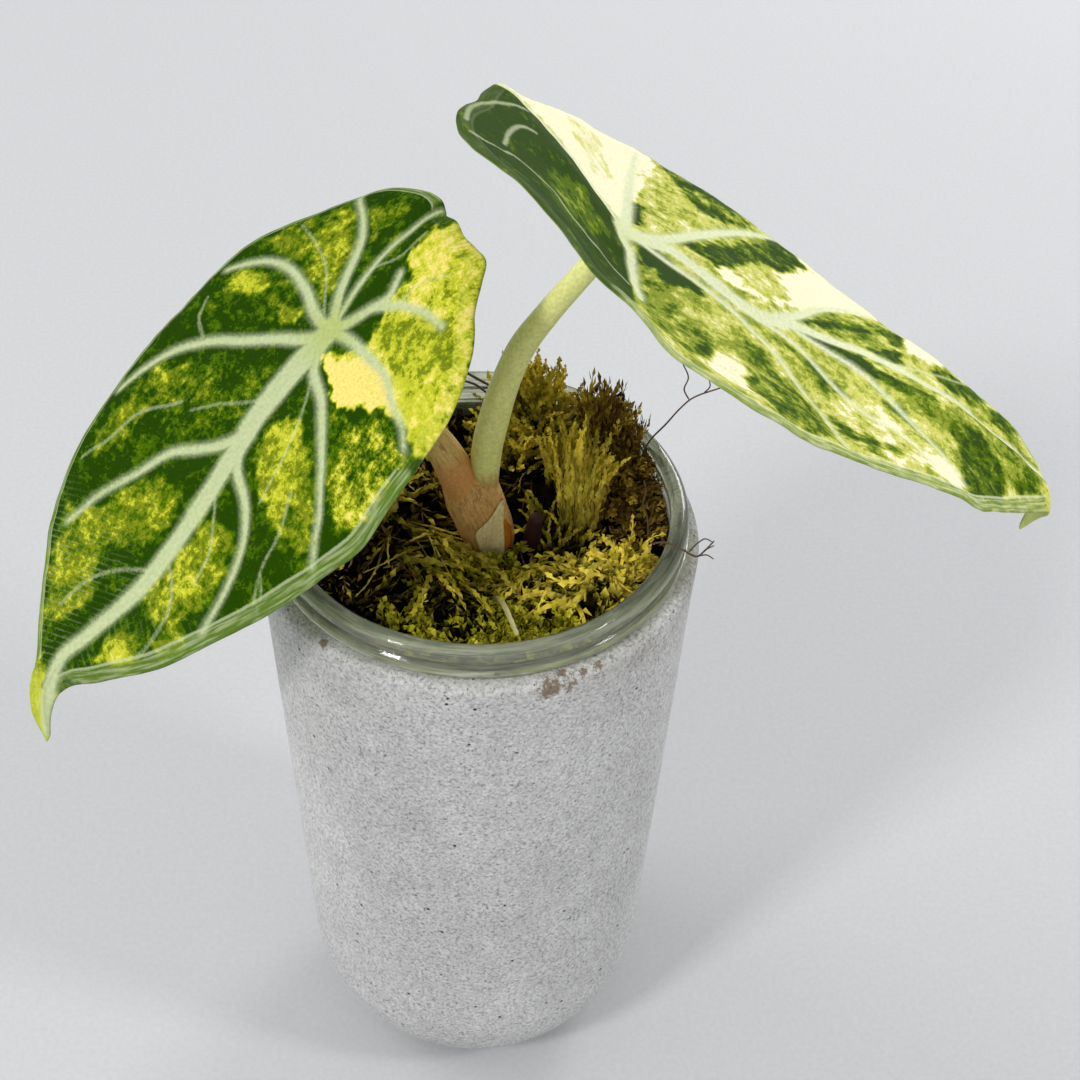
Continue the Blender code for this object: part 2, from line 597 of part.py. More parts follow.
def main():
    clear_scene()
    part = add_collection("potted_alocasia")
    cutters = add_collection("cutters")

    build_pot(part)
    build_cup(part)
    moss = build_moss(part)

    left_route = petiole_route(PETIOLE_LEFT_ROUTE, LEFT_LEAF)
    right_route = petiole_route(PETIOLE_RIGHT_ROUTE, RIGHT_LEAF)
    bark = add_material("stem_brown", (0.30, 0.17, 0.09), 0.7)
    stem = as_mesh(tube("stem", STEM_SECTIONS, part, bark, 12, resolution=3), part)
    flatten_stem(stem)
    shade_round(stem)
    cut(stem, add_cutter("socket_left", left_route[:5], cutters, 9))
    cut(stem, add_cutter("socket_right", right_route[:5], cutters, 9))
    tan = add_material("petiole_tan", (0.42, 0.34, 0.16), 0.5)
    pale_green = add_material("petiole_green", (0.42, 0.46, 0.17), 0.45)
    tube("petiole_left", left_route, part, tan, 15)
    tube("petiole_right", right_route, part, pale_green, 17)

    build_leaf("leaf_left", LEFT_LEAF, part, (0.16, 0.30, 0.06))
    build_leaf("leaf_right", RIGHT_LEAF, part, (0.22, 0.34, 0.08))

    tube("old_stub", OLD_STUB_ROUTE, part, add_material("stub_purple", (0.10, 0.03, 0.03), 0.6), 7)
    twig_brown = add_material("twig_brown", (0.17, 0.10, 0.05), 0.85)
    tube("dead_twig", DEAD_TWIG_ROUTE, part, twig_brown, 8, resolution=1)
    stalk_pale = add_material("stalk_pale", (0.50, 0.44, 0.26), 0.8)
    tube("pale_stalk", PALE_STALK_ROUTE, part, stalk_pale, 8, resolution=1)
    root_brown = add_material("root_brown", (0.09, 0.05, 0.03), 0.8)
    tube("root_over_rim", ROOT_OVER_RIM_ROUTE, part, root_brown, 22, resolution=1)
    build_rising_root(part, root_brown)

    cut(moss, add_cutter("hole_stem", STEM_SECTIONS, cutters, 12, STEM_CLEARANCE, 3, flatten=True))
    cut(moss, add_cutter("hole_stub", OLD_STUB_ROUTE, cutters, 7))
    cut(moss, add_cutter("hole_twig", DEAD_TWIG_ROUTE, cutters, 8, resolution=1))
    cut(moss, add_cutter("hole_stalk", PALE_STALK_ROUTE, cutters, 8, resolution=1))
    cut(moss, add_cutter("hole_root_rim", ROOT_OVER_RIM_ROUTE, cutters, 22, resolution=1))
    cut(moss, add_cutter("hole_root_rising", RISING_ROOT_ROUTE, cutters, 18, resolution=1))


main()
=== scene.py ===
"""Looks of the potted alocasia: two variegated shield leaves, a clear cup of moss and a concrete cachepot.

Places and sizes are in millimetres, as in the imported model's own source, and turn into metres where a mesh is
made. +Z is up, the foot of the pot is at the origin, and the photographed front of the plant faces -Y.
"""

import logging
import math
from dataclasses import dataclass, field
from enum import Enum
from typing import Callable, Iterator, Sequence

import bpy
import numpy as np
from mathutils import Matrix, Vector, noise


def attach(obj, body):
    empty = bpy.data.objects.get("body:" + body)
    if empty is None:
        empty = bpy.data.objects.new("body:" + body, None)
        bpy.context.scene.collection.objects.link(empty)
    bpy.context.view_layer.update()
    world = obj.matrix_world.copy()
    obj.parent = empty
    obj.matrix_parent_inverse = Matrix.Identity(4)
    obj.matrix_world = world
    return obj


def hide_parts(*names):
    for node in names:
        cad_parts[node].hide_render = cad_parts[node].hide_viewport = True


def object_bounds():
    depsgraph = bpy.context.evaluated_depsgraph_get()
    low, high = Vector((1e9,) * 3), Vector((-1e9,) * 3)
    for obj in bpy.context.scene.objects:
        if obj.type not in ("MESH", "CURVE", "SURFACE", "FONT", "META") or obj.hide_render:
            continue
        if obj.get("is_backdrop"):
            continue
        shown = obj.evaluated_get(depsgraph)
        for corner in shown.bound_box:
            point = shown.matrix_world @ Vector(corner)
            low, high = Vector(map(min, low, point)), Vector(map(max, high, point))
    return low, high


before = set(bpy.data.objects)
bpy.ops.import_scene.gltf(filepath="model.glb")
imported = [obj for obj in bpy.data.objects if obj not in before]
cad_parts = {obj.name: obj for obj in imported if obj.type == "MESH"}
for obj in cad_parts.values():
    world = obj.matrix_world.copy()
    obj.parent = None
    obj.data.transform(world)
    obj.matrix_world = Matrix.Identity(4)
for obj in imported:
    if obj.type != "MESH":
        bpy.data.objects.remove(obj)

LOG = logging.getLogger("alocasia")
MM = 0.001
BODY = "root"
SEED = 4071
TINY = 1e-12
FAR = 50.0
LINE_STEP = 1.2
MERGE_WITHIN = 0.000001
AXIS_GAP = 0.6
SMOOTH_UP_TO = 35.0

Colour = tuple[float, float, float]
Flat = tuple[float, float]
Place = tuple[float, float, float]
Station = tuple[float, float, float, float]
Array = np.ndarray
Socket = bpy.types.NodeSocket
Piece = bpy.types.Object
Skin = bpy.types.Material
Kept = dict[str, Array]
Carry = Callable[[Array, Array], tuple[Array, Kept]]
Pattern = tuple[Array, list]


def screen(red: float, green: float, blue: float) -> Colour:
    """Turns a screen colour into the linear one that shaders take.

    Args:
        red: Red from 0 to 255.
        green: Green from 0 to 255.
        blue: Blue from 0 to 255.

    Returns:
        The linear red, green and blue.
    """
    shares = (red / 255.0, green / 255.0, blue / 255.0)
    return tuple(s / 12.92 if s <= 0.04045 else ((s + 0.055) / 1.055) ** 2.4 for s in shares)


def smooth_through(stations: Sequence[float], values: Sequence, where: Sequence[float]) -> Array:
    """A cubic curve through values at rising stations.

    Args:
        stations: Rising stations.
        values: A value, or a row of values, for each station.
        where: The stations at which the curve is read.

    Returns:
        A row of values for each station in where.
    """
    stations = np.asarray(stations, dtype=float)
    values = np.asarray(values, dtype=float).reshape(len(stations), -1)
    where = np.asarray(where, dtype=float)
    steps = np.diff(stations)
    rises = np.diff(values, axis=0) / steps[:, None]
    slopes = np.empty_like(values)
    before = steps[:-1, None]
    after = steps[1:, None]
    slopes[1:-1] = (rises[:-1] * after + rises[1:] * before) / (before + after)
    slopes[0] = rises[0]
    slopes[-1] = rises[-1]
    span = np.clip(np.searchsorted(stations, where, side="right") - 1, 0, len(steps) - 1)
    length = steps[span][:, None]
    t = ((where - stations[span])[:, None]) / length
    start_share = (1.0 + 2.0 * t) * (1.0 - t) ** 2
    end_share = t ** 2 * (3.0 - 2.0 * t)
    start_turn = t * (1.0 - t) ** 2 * length
    end_turn = t ** 2 * (t - 1.0) * length
    return (start_share * values[span] + end_share * values[span + 1]
            + start_turn * slopes[span] + end_turn * slopes[span + 1])


def chord_stations(points: Sequence) -> Array:
    """Lengths along a line of points, measured on their first three columns.

    Args:
        points: The line's points, one row each.

    Returns:
        The length from the first point to each point.
    """
    steps = np.diff(np.asarray(points, dtype=float)[:, :3], axis=0)
    return np.concatenate(([0.0], np.cumsum(np.linalg.norm(steps, axis=1))))


def drawn_line(points: Sequence[Flat]) -> Array:
    """A smooth line through a few points, sampled about every LINE_STEP."""
    stations = chord_stations(points)
    count = max(3, int(stations[-1] / LINE_STEP) + 1)
    return smooth_through(stations, points, np.linspace(0.0, stations[-1], count))


def closed_curve(corners: Sequence, per_corner: int, lead: int) -> Array:
    """A smooth closed curve through some corners.

    Args:
        corners: The corners in order, one row each.
        per_corner: Samples from one corner to the next.
        lead: Corners repeated at both ends, so that the curve closes smoothly.

    Returns:
        The samples, one row each.
    """
    points = np.array(corners)
    around = np.vstack((points[-lead:], points, points[:lead + 1]))
    stations = chord_stations(around)
    spans = stations[lead:lead + len(points) + 1]
    stretches = [np.linspace(a, b, per_corner, endpoint=False) for a, b in zip(spans[:-1], spans[1:])]
    return smooth_through(stations, around, np.concatenate(stretches))


def distance_to(places: Array, line: Array) -> tuple[Array, Array]:
    """Distance of each place to a line.

    Args:
        places: The places, one row each.
        line: The line's points, one row each.

    Returns:
        The distances, and how far along the line each nearest point lies, from 0 to 1.
    """
    nearest = np.full(len(places), np.inf)
    share = np.zeros(len(places))
    spans = len(line) - 1
    for number in range(spans):
        start = line[number]
        run = line[number + 1] - start
        offset = places - start
        t = np.clip(offset @ run / max(run @ run, TINY), 0.0, 1.0)
        away = np.hypot(offset[:, 0] - t * run[0], offset[:, 1] - t * run[1])
        closer = away < nearest
        nearest = np.where(closer, away, nearest)
        share = np.where(closer, (number + t) / spans, share)
    return nearest, share


def depth_inside(places: Array, corners: Sequence[Flat]) -> Array:
    """How deep each place lies inside a closed outline.

    Args:
        places: The places, one row each.
        corners: The outline's corners in order.

    Returns:
        The distance to the outline, negative outside it.
    """
    ring = np.array(list(corners) + [corners[0]], dtype=float)
    away, _ = distance_to(places, ring)
    inside = np.zeros(len(places), dtype=bool)
    for (x0, y0), (x1, y1) in zip(ring[:-1], ring[1:]):
        if y0 == y1:
            continue
        crosses = (y0 > places[:, 1]) != (y1 > places[:, 1])
        inside ^= crosses & (places[:, 0] < x0 + (places[:, 1] - y0) * (x1 - x0) / (y1 - y0))
    return np.where(inside, away, -away)


@dataclass(frozen=True)
class Grain:
    """A noise: the size of its largest features in millimetres, its finer layers and their weight."""

    size: float
    detail: float = 3.0
    weight: float = 0.55


@dataclass(frozen=True)
class Ripple:
    """Soft random relief: the size of one ripple, a level that tells it from others, and its rise."""

    size: float
    level: float
    rise: float = 1.0

    def over(self, places: Array) -> Array:
        """The relief, from about -rise to rise, at two or three columns of places."""
        if places.shape[1] == 2:
            spots = [Vector((x, y, self.level)) for x, y in places / self.size]
        else:
            spots = [Vector((x, y, z + self.level)) for x, y, z in places / self.size]
        return self.rise * np.array([noise.noise(spot) for spot in spots])


class Graph:
    """The shader nodes of one material, added and joined by short calls."""

    def __init__(self, name: str) -> None:
        """Starts a material that holds a Principled shader.

        Args:
            name: The material's name.
        """
        self.material = bpy.data.materials.new(name)
        self.material.use_nodes = True
        self.tree = self.material.node_tree
        self.surface = self.tree.nodes["Principled BSDF"]

    def node(self, kind: str, **settings: object) -> bpy.types.Node:
        """Adds a node and sets its properties.

        Args:
            kind: The node's type name without ShaderNode.
            **settings: Properties of the node.

        Returns:
            The node.
        """
        added = self.tree.nodes.new("ShaderNode" + kind)
        for name, value in settings.items():
            setattr(added, name, value)
        return added

    def feed(self, socket: Socket, value: object) -> None:
        """Joins a socket to another one, or sets its value."""
        if isinstance(value, bpy.types.NodeSocket):
            self.tree.links.new(value, socket)
        elif isinstance(value, tuple) and len(value) == 3 and len(socket.default_value) == 4:
            socket.default_value = (*value, 1.0)
        else:
            socket.default_value = value

    def finish(self, **sockets: object) -> Skin:
        """Sets the Principled shader's sockets.

        Args:
            **sockets: Values by socket name, with _ for a space.

        Returns:
            The material.
        """
        for name, value in sockets.items():
            self.feed(self.surface.inputs[name.replace("_", " ")], value)
        return self.material

    def place(self) -> Socket:
        """Object coordinates, in metres."""
        return self.node("TexCoord").outputs["Object"]

    def stretched(self, vector: Socket, stretch: Place) -> Socket:
        """A vector multiplied along each axis."""
        product = self.node("VectorMath", operation="MULTIPLY")
        self.feed(product.inputs[0], vector)
        product.inputs[1].default_value = stretch
        return product.outputs["Vector"]

    def attribute(self, name: str, vector: bool = False) -> Socket:
        """The value, or the vector, that a mesh holds under a name."""
        found = self.node("Attribute", attribute_name=name, attribute_type="GEOMETRY")
        return found.outputs["Vector" if vector else "Fac"]

    def texture(self, kind: str, vector: Socket, size: float) -> bpy.types.Node:
        """A texture node read at a vector in metres, with features of a size in millimetres."""
        added = self.node(kind)
        self.feed(added.inputs["Vector"], vector)
        added.inputs["Scale"].default_value = 1.0 / (size * MM)
        return added

    def noise(self, vector: Socket, grain: Grain) -> Socket:
        """Noise from 0 to 1, read at a vector in metres."""
        texture = self.texture("TexNoise", vector, grain.size)
        texture.inputs["Detail"].default_value = grain.detail
        texture.inputs["Roughness"].default_value = grain.weight
        return texture.outputs[0]

    def cells(self, vector: Socket, size: float) -> Socket:
        """Distance to the middle of the nearest of some cells of about a size in millimetres."""
        return self.texture("TexVoronoi", vector, size).outputs["Distance"]

    def sum(self, operation: str, first: object, second: object = 0.0, clamp: bool = False) -> Socket:
        """One step of arithmetic, named as Blender's Math node names it."""
        step = self.node("Math", operation=operation, use_clamp=clamp)
        self.feed(step.inputs[0], first)
        self.feed(step.inputs[1], second)
        return step.outputs[0]

    def plus(self, first: object, second: object, clamp: bool = False) -> Socket:
        """Two values added, and held between 0 and 1 if asked."""
        return self.sum("ADD", first, second, clamp)

    def minus(self, first: object, second: object) -> Socket:
        """One value less another."""
        return self.sum("SUBTRACT", first, second)

    def times(self, first: object, second: object) -> Socket:
        """One value times another."""
        return self.sum("MULTIPLY", first, second)

    def span(self, value: object, low: float, high: float, start: float = 0.0, end: float = 1.0) -> Socket:
        """A value carried smoothly from low..high to start..end, and held at both ends."""
        mapped = self.node("MapRange", interpolation_type="SMOOTHSTEP")
        names = ("Value", "From Min", "From Max", "To Min", "To Max")
        for name, number in zip(names, (value, low, high, start, end)):
            self.feed(mapped.inputs[name], number)
        return mapped.outputs["Result"]

    def ramp(self, value: Socket, stops: Sequence[tuple[float, Colour]]) -> Socket:
        """Colours along a value from 0 to 1.

        Args:
            value: The value.
            stops: Each place from 0 to 1 with its linear colour.

        Returns:
            The colour.
        """
        ramp = self.node("ValToRGB")
        elements = ramp.color_ramp.elements
        elements.remove(elements[-1])
        elements[0].position = stops[0][0]
        elements[0].color = (*stops[0][1], 1.0)
        for position, colour in stops[1:]:
            elements.new(position).color = (*colour, 1.0)
        self.feed(ramp.inputs[0], value)
        return ramp.outputs["Color"]

    def mix(self, share: object, first: object, second: object, way: str = "MIX") -> Socket:
        """Two colours mixed by a share, in one of Blender's blend types."""
        mixer = self.node("Mix", data_type="RGBA", blend_type=way)
        self.feed(mixer.inputs[0], share)
        self.feed(mixer.inputs[6], first)
        self.feed(mixer.inputs[7], second)
        return mixer.outputs[2]

    def shade(self, colour: Socket, light: Socket) -> Socket:
        """A colour times a value or another colour."""
        return self.mix(1.0, colour, light, "MULTIPLY")

    def bump(self, height: Socket, rise: float, below: Socket | None = None) -> Socket:
        """A bumped normal.

        Args:
            height: Relief from 0 to 1.
            rise: Its height in millimetres.
            below: A normal that this relief lies on.

        Returns:
            The normal.
        """
        bump = self.node("Bump")
        bump.inputs["Distance"].default_value = rise * MM
        self.feed(bump.inputs["Height"], height)
        if below is not None:
            self.feed(bump.inputs["Normal"], below)
        return bump.outputs["Normal"]


@dataclass(frozen=True)
class Stain:
    """A brown mark on the concrete."""

    centre: Place
    radius: float
    strength: float


@dataclass(frozen=True)
class ConcreteFinish:
    """Light-grey cast concrete with fine dark speckle, pin holes painted near black as their shade, and a few
    marks under the lip.
    """

    pale: Colour = screen(217, 217, 216)
    grey: Colour = screen(182, 181, 181)
    grain: Colour = screen(98, 97, 96)
    # Painted shade in the pin holes, and also the colour of the real dark flecks.
    pit_shade_and_fleck: Colour = screen(48, 43, 38)
    stain: Colour = screen(106, 84, 52)
    dirt: Colour = screen(84, 72, 58)
    cloud: Grain = Grain(26.0, 3.0, 0.5)
    grains: Grain = Grain(0.8, 4.0, 0.8)
    blotch: Grain = Grain(6.0, 3.0, 0.6)
    hole_size: float = 4.6
    hole_gate: Grain = Grain(9.0, 1.0)
    fleck: Grain = Grain(0.75, 2.0, 0.6)
    ragged: Grain = Grain(1.1, 4.0, 0.8)
    dust: Grain = Grain(1.3, 4.0, 0.75)
    warmth: Grain = Grain(8.0)
    relief: Grain = Grain(0.9, 4.0, 0.65)
    rise: float = 0.34
    soiled_from: Flat = (2.0, 148.0)
    soiled_to: Flat = (26.0, 163.0)
    stain_fade: float = 1.6
    stains: tuple[Stain, ...] = (
        Stain((15.2, -47.6, 163.0), 4.4, 0.9),
        Stain((19.6, -45.8, 162.6), 3.4, 0.8),
        Stain((17.6, -44.4, 165.0), 2.0, 0.9),
        Stain((-33.1, -36.0, 165.0), 1.5, 1.0),
        Stain((-10.7, -46.2, 164.0), 1.3, 1.0),
        Stain((25.5, -41.9, 164.6), 2.2, 0.8),
        Stain((22.5, -43.6, 164.6), 1.4, 0.9),
    )

    def soiling(self, graph: Graph, place: Socket) -> Socket:
        """How soiled the concrete is: most at the right under the lip, and not at all lower down."""
        axes = graph.node("SeparateXYZ")
        graph.feed(axes.inputs[0], place)
        right, high = (
            graph.span(axes.outputs[axis], low * MM, top * MM)
            for axis, low, top in zip("XZ", self.soiled_from, self.soiled_to)
        )
        return graph.times(high, graph.plus(graph.times(right, 0.8), 0.2))

    def marks(self, graph: Graph, place: Socket) -> Socket:
        """Strength of the stains, strongest at their middles."""
        marks = None
        for mark in self.stains:
            away = graph.node("VectorMath", operation="DISTANCE")
            graph.feed(away.inputs[0], place)
            away.inputs[1].default_value = tuple(c * MM for c in mark.centre)
            reach = mark.radius * self.stain_fade * MM
            near = graph.span(away.outputs["Value"], reach, 0.0, 0.0, mark.strength)
            marks = near if marks is None else graph.sum("MAXIMUM", marks, near)
        return marks

    def material(self) -> Skin:
        """Builds the material and returns it."""
        graph = Graph("concrete")
        place = graph.place()
        grains = graph.noise(place, self.grains)
        colour = graph.ramp(grains, ((0.32, self.grain), (0.44, self.grey), (0.62, self.pale)))
        blotches = graph.span(graph.noise(place, self.blotch), 0.3, 0.7, -0.05, 0.05)
        clouds = graph.span(graph.noise(place, self.cloud), 0.3, 0.7, 0.93, 1.03)
        colour = graph.shade(colour, graph.plus(clouds, blotches))
        holes = graph.span(graph.cells(place, self.hole_size), 0.05, 0.11, 1.0, 0.0)
        pits = graph.times(holes, graph.span(graph.noise(place, self.hole_gate), 0.5, 0.58))
        # Painted shade: the pin holes are coloured near black for the shade inside them.
        colour = graph.mix(pits, colour, self.pit_shade_and_fleck)
        flecks = graph.span(graph.noise(place, self.fleck), 0.665, 0.71)
        # The same dark colour paints the real fine flecks.
        colour = graph.mix(graph.times(flecks, 0.7), colour, self.pit_shade_and_fleck)
        soiled = self.soiling(graph, place)
        dust = graph.span(graph.noise(place, self.dust), 0.59, 0.67, 0.0, 0.85)
        colour = graph.mix(graph.times(dust, soiled), colour, self.dirt)
        warm = graph.span(graph.noise(place, self.warmth), 0.35, 0.65, 0.0, 0.22)
        colour = graph.mix(graph.times(soiled, warm), colour, self.stain)
        marks = graph.times(self.marks(graph, place), 0.62)
        torn = graph.span(graph.plus(marks, graph.noise(place, self.ragged)), 0.84, 0.97, 0.0, 0.8)
        colour = graph.mix(torn, colour, self.stain)
        height = graph.minus(graph.noise(place, self.relief), graph.times(pits, 1.5))
        normal = graph.bump(height, self.rise)
        return graph.finish(Base_Color=colour, Roughness=0.88, Normal=normal, Specular_IOR_Level=0.3)


@dataclass(frozen=True)
class PlasticFinish:
    """Thin clear plastic with a faint milky grey-green cast, and darker lines painted round it as the shade of
    fine ridges.
    """

    tint: Colour = screen(238, 240, 216)
    # Colour of the painted lines of ridge shade.
    line: Colour = screen(176, 184, 166)
    lines: Grain = Grain(0.45, 3.0, 0.7)
    line_stretch: Place = (0.03, 0.03, 1.6)
    line_rise: float = 0.03
    haze: Grain = Grain(6.0, 2.0)
    roughness: float = 0.05
    hazed: float = 2.2
    clearness: float = 0.84
    bend: float = 1.36

    def material(self) -> Skin:
        """Builds the material and returns it."""
        graph = Graph("clear_plastic")
        place = graph.place()
        lines = graph.noise(graph.stretched(place, self.line_stretch), self.lines)
        # Painted shade: the darker lines round the rim stand in for the shade of fine ridges that are not
        # modelled.
        colour = graph.mix(graph.span(lines, 0.46, 0.58), self.tint, self.line)
        haze = graph.noise(place, self.haze)
        return graph.finish(
            Base_Color=colour,
            Roughness=graph.span(haze, 0.4, 0.7, self.roughness, self.roughness * self.hazed),
            Normal=graph.bump(lines, self.line_rise),
            IOR=self.bend,
            Transmission_Weight=self.clearness,
        )


@dataclass(frozen=True)
class LeafFinish:
    """Variegated blade: green, olive, lime and cream tissue in flecks, with pale soft-edged veins."""

    name: str
    dark: Colour = screen(34, 64, 1)
    green: Colour = screen(66, 98, 2)
    olive: Colour = screen(116, 130, 22)
    lime: Colour = screen(174, 182, 38)
    yellow: Colour = screen(204, 203, 60)
    cream: Colour = screen(238, 219, 120)
    vein: Colour = screen(188, 199, 152)
    hub: Colour = screen(176, 189, 116)
    margin: Colour = screen(100, 126, 48)
    underside: Colour = screen(132, 156, 96)
    flecks: Grain = Grain(2.0, 7.0, 0.8)
    fleck_share: float = 3.2
    blocks: Grain = Grain(6.0, 3.0, 0.6)
    block_share: float = 2.0
    mottle: Grain = Grain(0.7, 5.0, 0.75)
    fuzz: Grain = Grain(0.7, 4.0, 0.7)
    fuzz_width: float = 0.26
    comb_gate: Grain = Grain(5.0)
    comb_step: float = 0.8
    margin_line: float = 2.9
    streaks: Grain = Grain(0.6)
    streak_stretch: Place = (1.0, 0.06, 1.0)
    vein_grain: Grain = Grain(1.0, 3.0, 0.6)
    pores: Grain = Grain(0.55, 2.0, 0.5)
    pore_rise: float = 0.05
    swell: Grain = Grain(3.0, 2.0, 0.5)
    swell_rise: float = 0.3

    def tissue(self, graph: Graph, blade: Socket) -> Socket:
        """Colour of the blade between its veins.

        Args:
            graph: The material's nodes.
            blade: Places across and along the blade.

        Returns:
            The colour.
        """
        flecks = graph.times(graph.minus(graph.noise(blade, self.flecks), 0.5), self.fleck_share)
        blocks = graph.times(graph.minus(graph.noise(blade, self.blocks), 0.5), self.block_share)
        stir = graph.times(graph.plus(flecks, blocks), graph.attribute("speckle"))
        stops = (
            (0.00, self.dark),
            (0.17, self.dark),
            (0.22, self.green),
            (0.32, self.green),
            (0.39, self.olive),
            (0.50, self.olive),
            (0.57, self.lime),
            (0.72, self.yellow),
            (0.84, self.cream),
            (1.00, self.cream),
        )
        colour = graph.ramp(graph.plus(graph.attribute("tone"), stir, clamp=True), stops)
        return graph.shade(colour, graph.span(graph.noise(blade, self.mottle), 0.3, 0.7, 0.8, 1.14))

    def combed(self, graph: Graph, blade: Socket, fuzz: Socket, colour: Socket) -> Socket:
        """The tissue with the fine pale lines that run side by side near the tip."""
        comb = graph.plus(graph.attribute("comb"), graph.times(fuzz, 0.9))
        tooth = graph.span(graph.sum("PINGPONG", comb, self.comb_step), 0.0, 0.34, 1.0, 0.0)
        gate = graph.span(graph.noise(blade, self.comb_gate), 0.35, 0.65, 0.02, 0.22)
        gate = graph.times(gate, graph.attribute("comb_share"))
        return graph.mix(graph.times(tooth, gate), colour, self.vein)

    def rimmed(self, graph: Graph, fuzz: Socket, colour: Socket) -> Socket:
        """The tissue with its streaked margin and the pale line inside that."""
        rim = graph.attribute("rim")
        band = graph.attribute("band")
        edge = graph.stretched(graph.attribute("edge", vector=True), self.streak_stretch)
        streaks = graph.span(graph.noise(edge, self.streaks), 0.42, 0.62, 0.0, 0.6)
        band_colour = graph.mix(streaks, self.margin, self.vein)
        colour = graph.mix(graph.times(graph.span(rim, 2.0, 3.0, 0.75, 0.0), band), colour, band_colour)
        ragged = graph.plus(rim, graph.times(fuzz, 0.3))
        off_line = graph.sum("ABSOLUTE", graph.minus(ragged, self.margin_line))
        return graph.mix(graph.times(graph.span(off_line, 0.1, 0.5, 0.6, 0.0), band), colour, self.vein)

    def veined(self, graph: Graph, blade: Socket, fuzz: Socket, colour: Socket) -> Socket:
        """The tissue with its veins and the glow beside them."""
        vein = graph.plus(graph.attribute("vein"), fuzz)
        colour = graph.mix(graph.span(vein, 0.0, 1.5, 0.38, 0.0), colour, self.vein)
        grain = graph.span(graph.noise(blade, self.vein_grain), 0.3, 0.7, 0.9, 1.06)
        vein_colour = graph.shade(graph.mix(graph.attribute("hub"), self.vein, self.hub), grain)
        return graph.mix(graph.span(vein, -0.5, 0.5, 0.95, 0.0), colour, vein_colour)

    def material(self) -> Skin:
        """Builds the material and returns it."""
        graph = Graph(self.name)
        blade = graph.attribute("blade", vector=True)
        fuzz = graph.span(graph.noise(blade, self.fuzz), 0.25, 0.75, -self.fuzz_width, self.fuzz_width)
        colour = self.combed(graph, blade, fuzz, self.tissue(graph, blade))
        thread = graph.plus(graph.attribute("thread"), fuzz)
        colour = graph.mix(graph.span(thread, -0.3, 0.45, 0.45, 0.0), colour, self.vein)
        colour = self.rimmed(graph, fuzz, colour)
        colour = self.veined(graph, blade, fuzz, colour)
        below = graph.mix(0.66, colour, self.underside)
        colour = graph.mix(graph.attribute("under"), colour, below)
        normal = graph.bump(graph.noise(blade, self.pores), self.pore_rise)
        normal = graph.bump(graph.noise(blade, self.swell), self.swell_rise, normal)
        return graph.finish(Base_Color=colour, Roughness=0.5, Normal=normal, Specular_IOR_Level=0.01)


@dataclass(frozen=True)
class MossFinish:
    """Damp moss, from brown over ochre and olive to bright green, with painted shade that turns it nearly black
    in its gaps.
    """

    shadow: Colour = screen(8, 6, 2)
    drift: Grain = Grain(2.2, 3.0, 0.6)
    relief: Grain = Grain(0.5, 2.0)
    rise: float = 0.15
    stops: tuple[tuple[float, Colour], ...] = (
        (0.00, screen(66, 46, 22)),
        (0.15, screen(122, 92, 46)),
        (0.30, screen(170, 140, 52)),
        (0.45, screen(250, 228, 92)),
        (0.58, screen(208, 188, 58)),
        (0.72, screen(158, 150, 42)),
        (0.86, screen(152, 148, 28)),
        (1.00, screen(226, 216, 70)),
    )

    def material(self) -> Skin:
        """Builds the material and returns it."""
        graph = Graph("moss")
        place = graph.place()
        drift = graph.span(graph.noise(place, self.drift), 0.3, 0.7, -0.07, 0.07)
        level = graph.plus(graph.attribute("tint"), drift, clamp=True)
        colour = graph.shade(graph.ramp(level, self.stops), graph.attribute("shade"))
        # Painted shade: where the tip value is low (in the gaps, near the bed, at the strands' feet) the
        # near-black shadow colour is mixed in.
        colour = graph.mix(graph.span(graph.attribute("tip"), 0.05, 0.85, 0.99, 0.0), colour, self.shadow)
        normal = graph.bump(graph.noise(place, self.relief), self.rise)
        return graph.finish(Base_Color=colour, Roughness=0.7, Normal=normal, Specular_IOR_Level=0.02)


@dataclass(frozen=True)
class StalkFinish:
    """A stalk with streaks along it: petioles, sheaths, twigs and roots."""

    name: str
    low: Colour
    high: Colour
    streak: Colour
    foot: Colour | None = None
    foot_share: float = 0.0
    roughness: float = 0.6
    streaks: Grain = Grain(1.0, 3.0, 0.65)
    streak_share: float = 0.7
    relief: float = 0.12
    streak_stretch: Place = (1.0, 1.0, 0.12)
    wander: Grain = Grain(5.0, 2.0)
    spots: Grain = Grain(0.8, 3.0, 0.6)

    def material(self) -> Skin:
        """Builds the material and returns it."""
        graph = Graph(self.name)
        share = graph.attribute("share")
        place = graph.place()
        wander = graph.span(graph.noise(place, self.wander), 0.3, 0.7, -0.12, 0.12)
        colour = graph.mix(graph.plus(share, wander, clamp=True), self.low, self.high)
        grain = graph.stretched(graph.attribute("grain", vector=True), self.streak_stretch)
        lines = graph.noise(grain, self.streaks)
        colour = graph.mix(graph.span(lines, 0.45, 0.72, 0.0, self.streak_share), colour, self.streak)
        if self.foot is not None:
            ragged = graph.plus(share, graph.times(graph.minus(lines, 0.5), 0.12))
            foot = graph.span(ragged, self.foot_share - 0.03, self.foot_share + 0.05, 1.0, 0.0)
            colour = graph.mix(foot, colour, self.foot)
        colour = graph.shade(colour, graph.span(graph.noise(place, self.spots), 0.3, 0.7, 0.86, 1.08))
        normal = graph.bump(lines, self.relief)
        return graph.finish(
            Base_Color=colour, Roughness=self.roughness, Normal=normal, Specular_IOR_Level=0.35
        )


def deselect() -> None:
    """Leaves object mode with nothing selected."""
    if bpy.context.object and bpy.context.object.mode != "OBJECT":
        bpy.ops.object.mode_set(mode="OBJECT")
    bpy.ops.object.select_all(action="DESELECT")


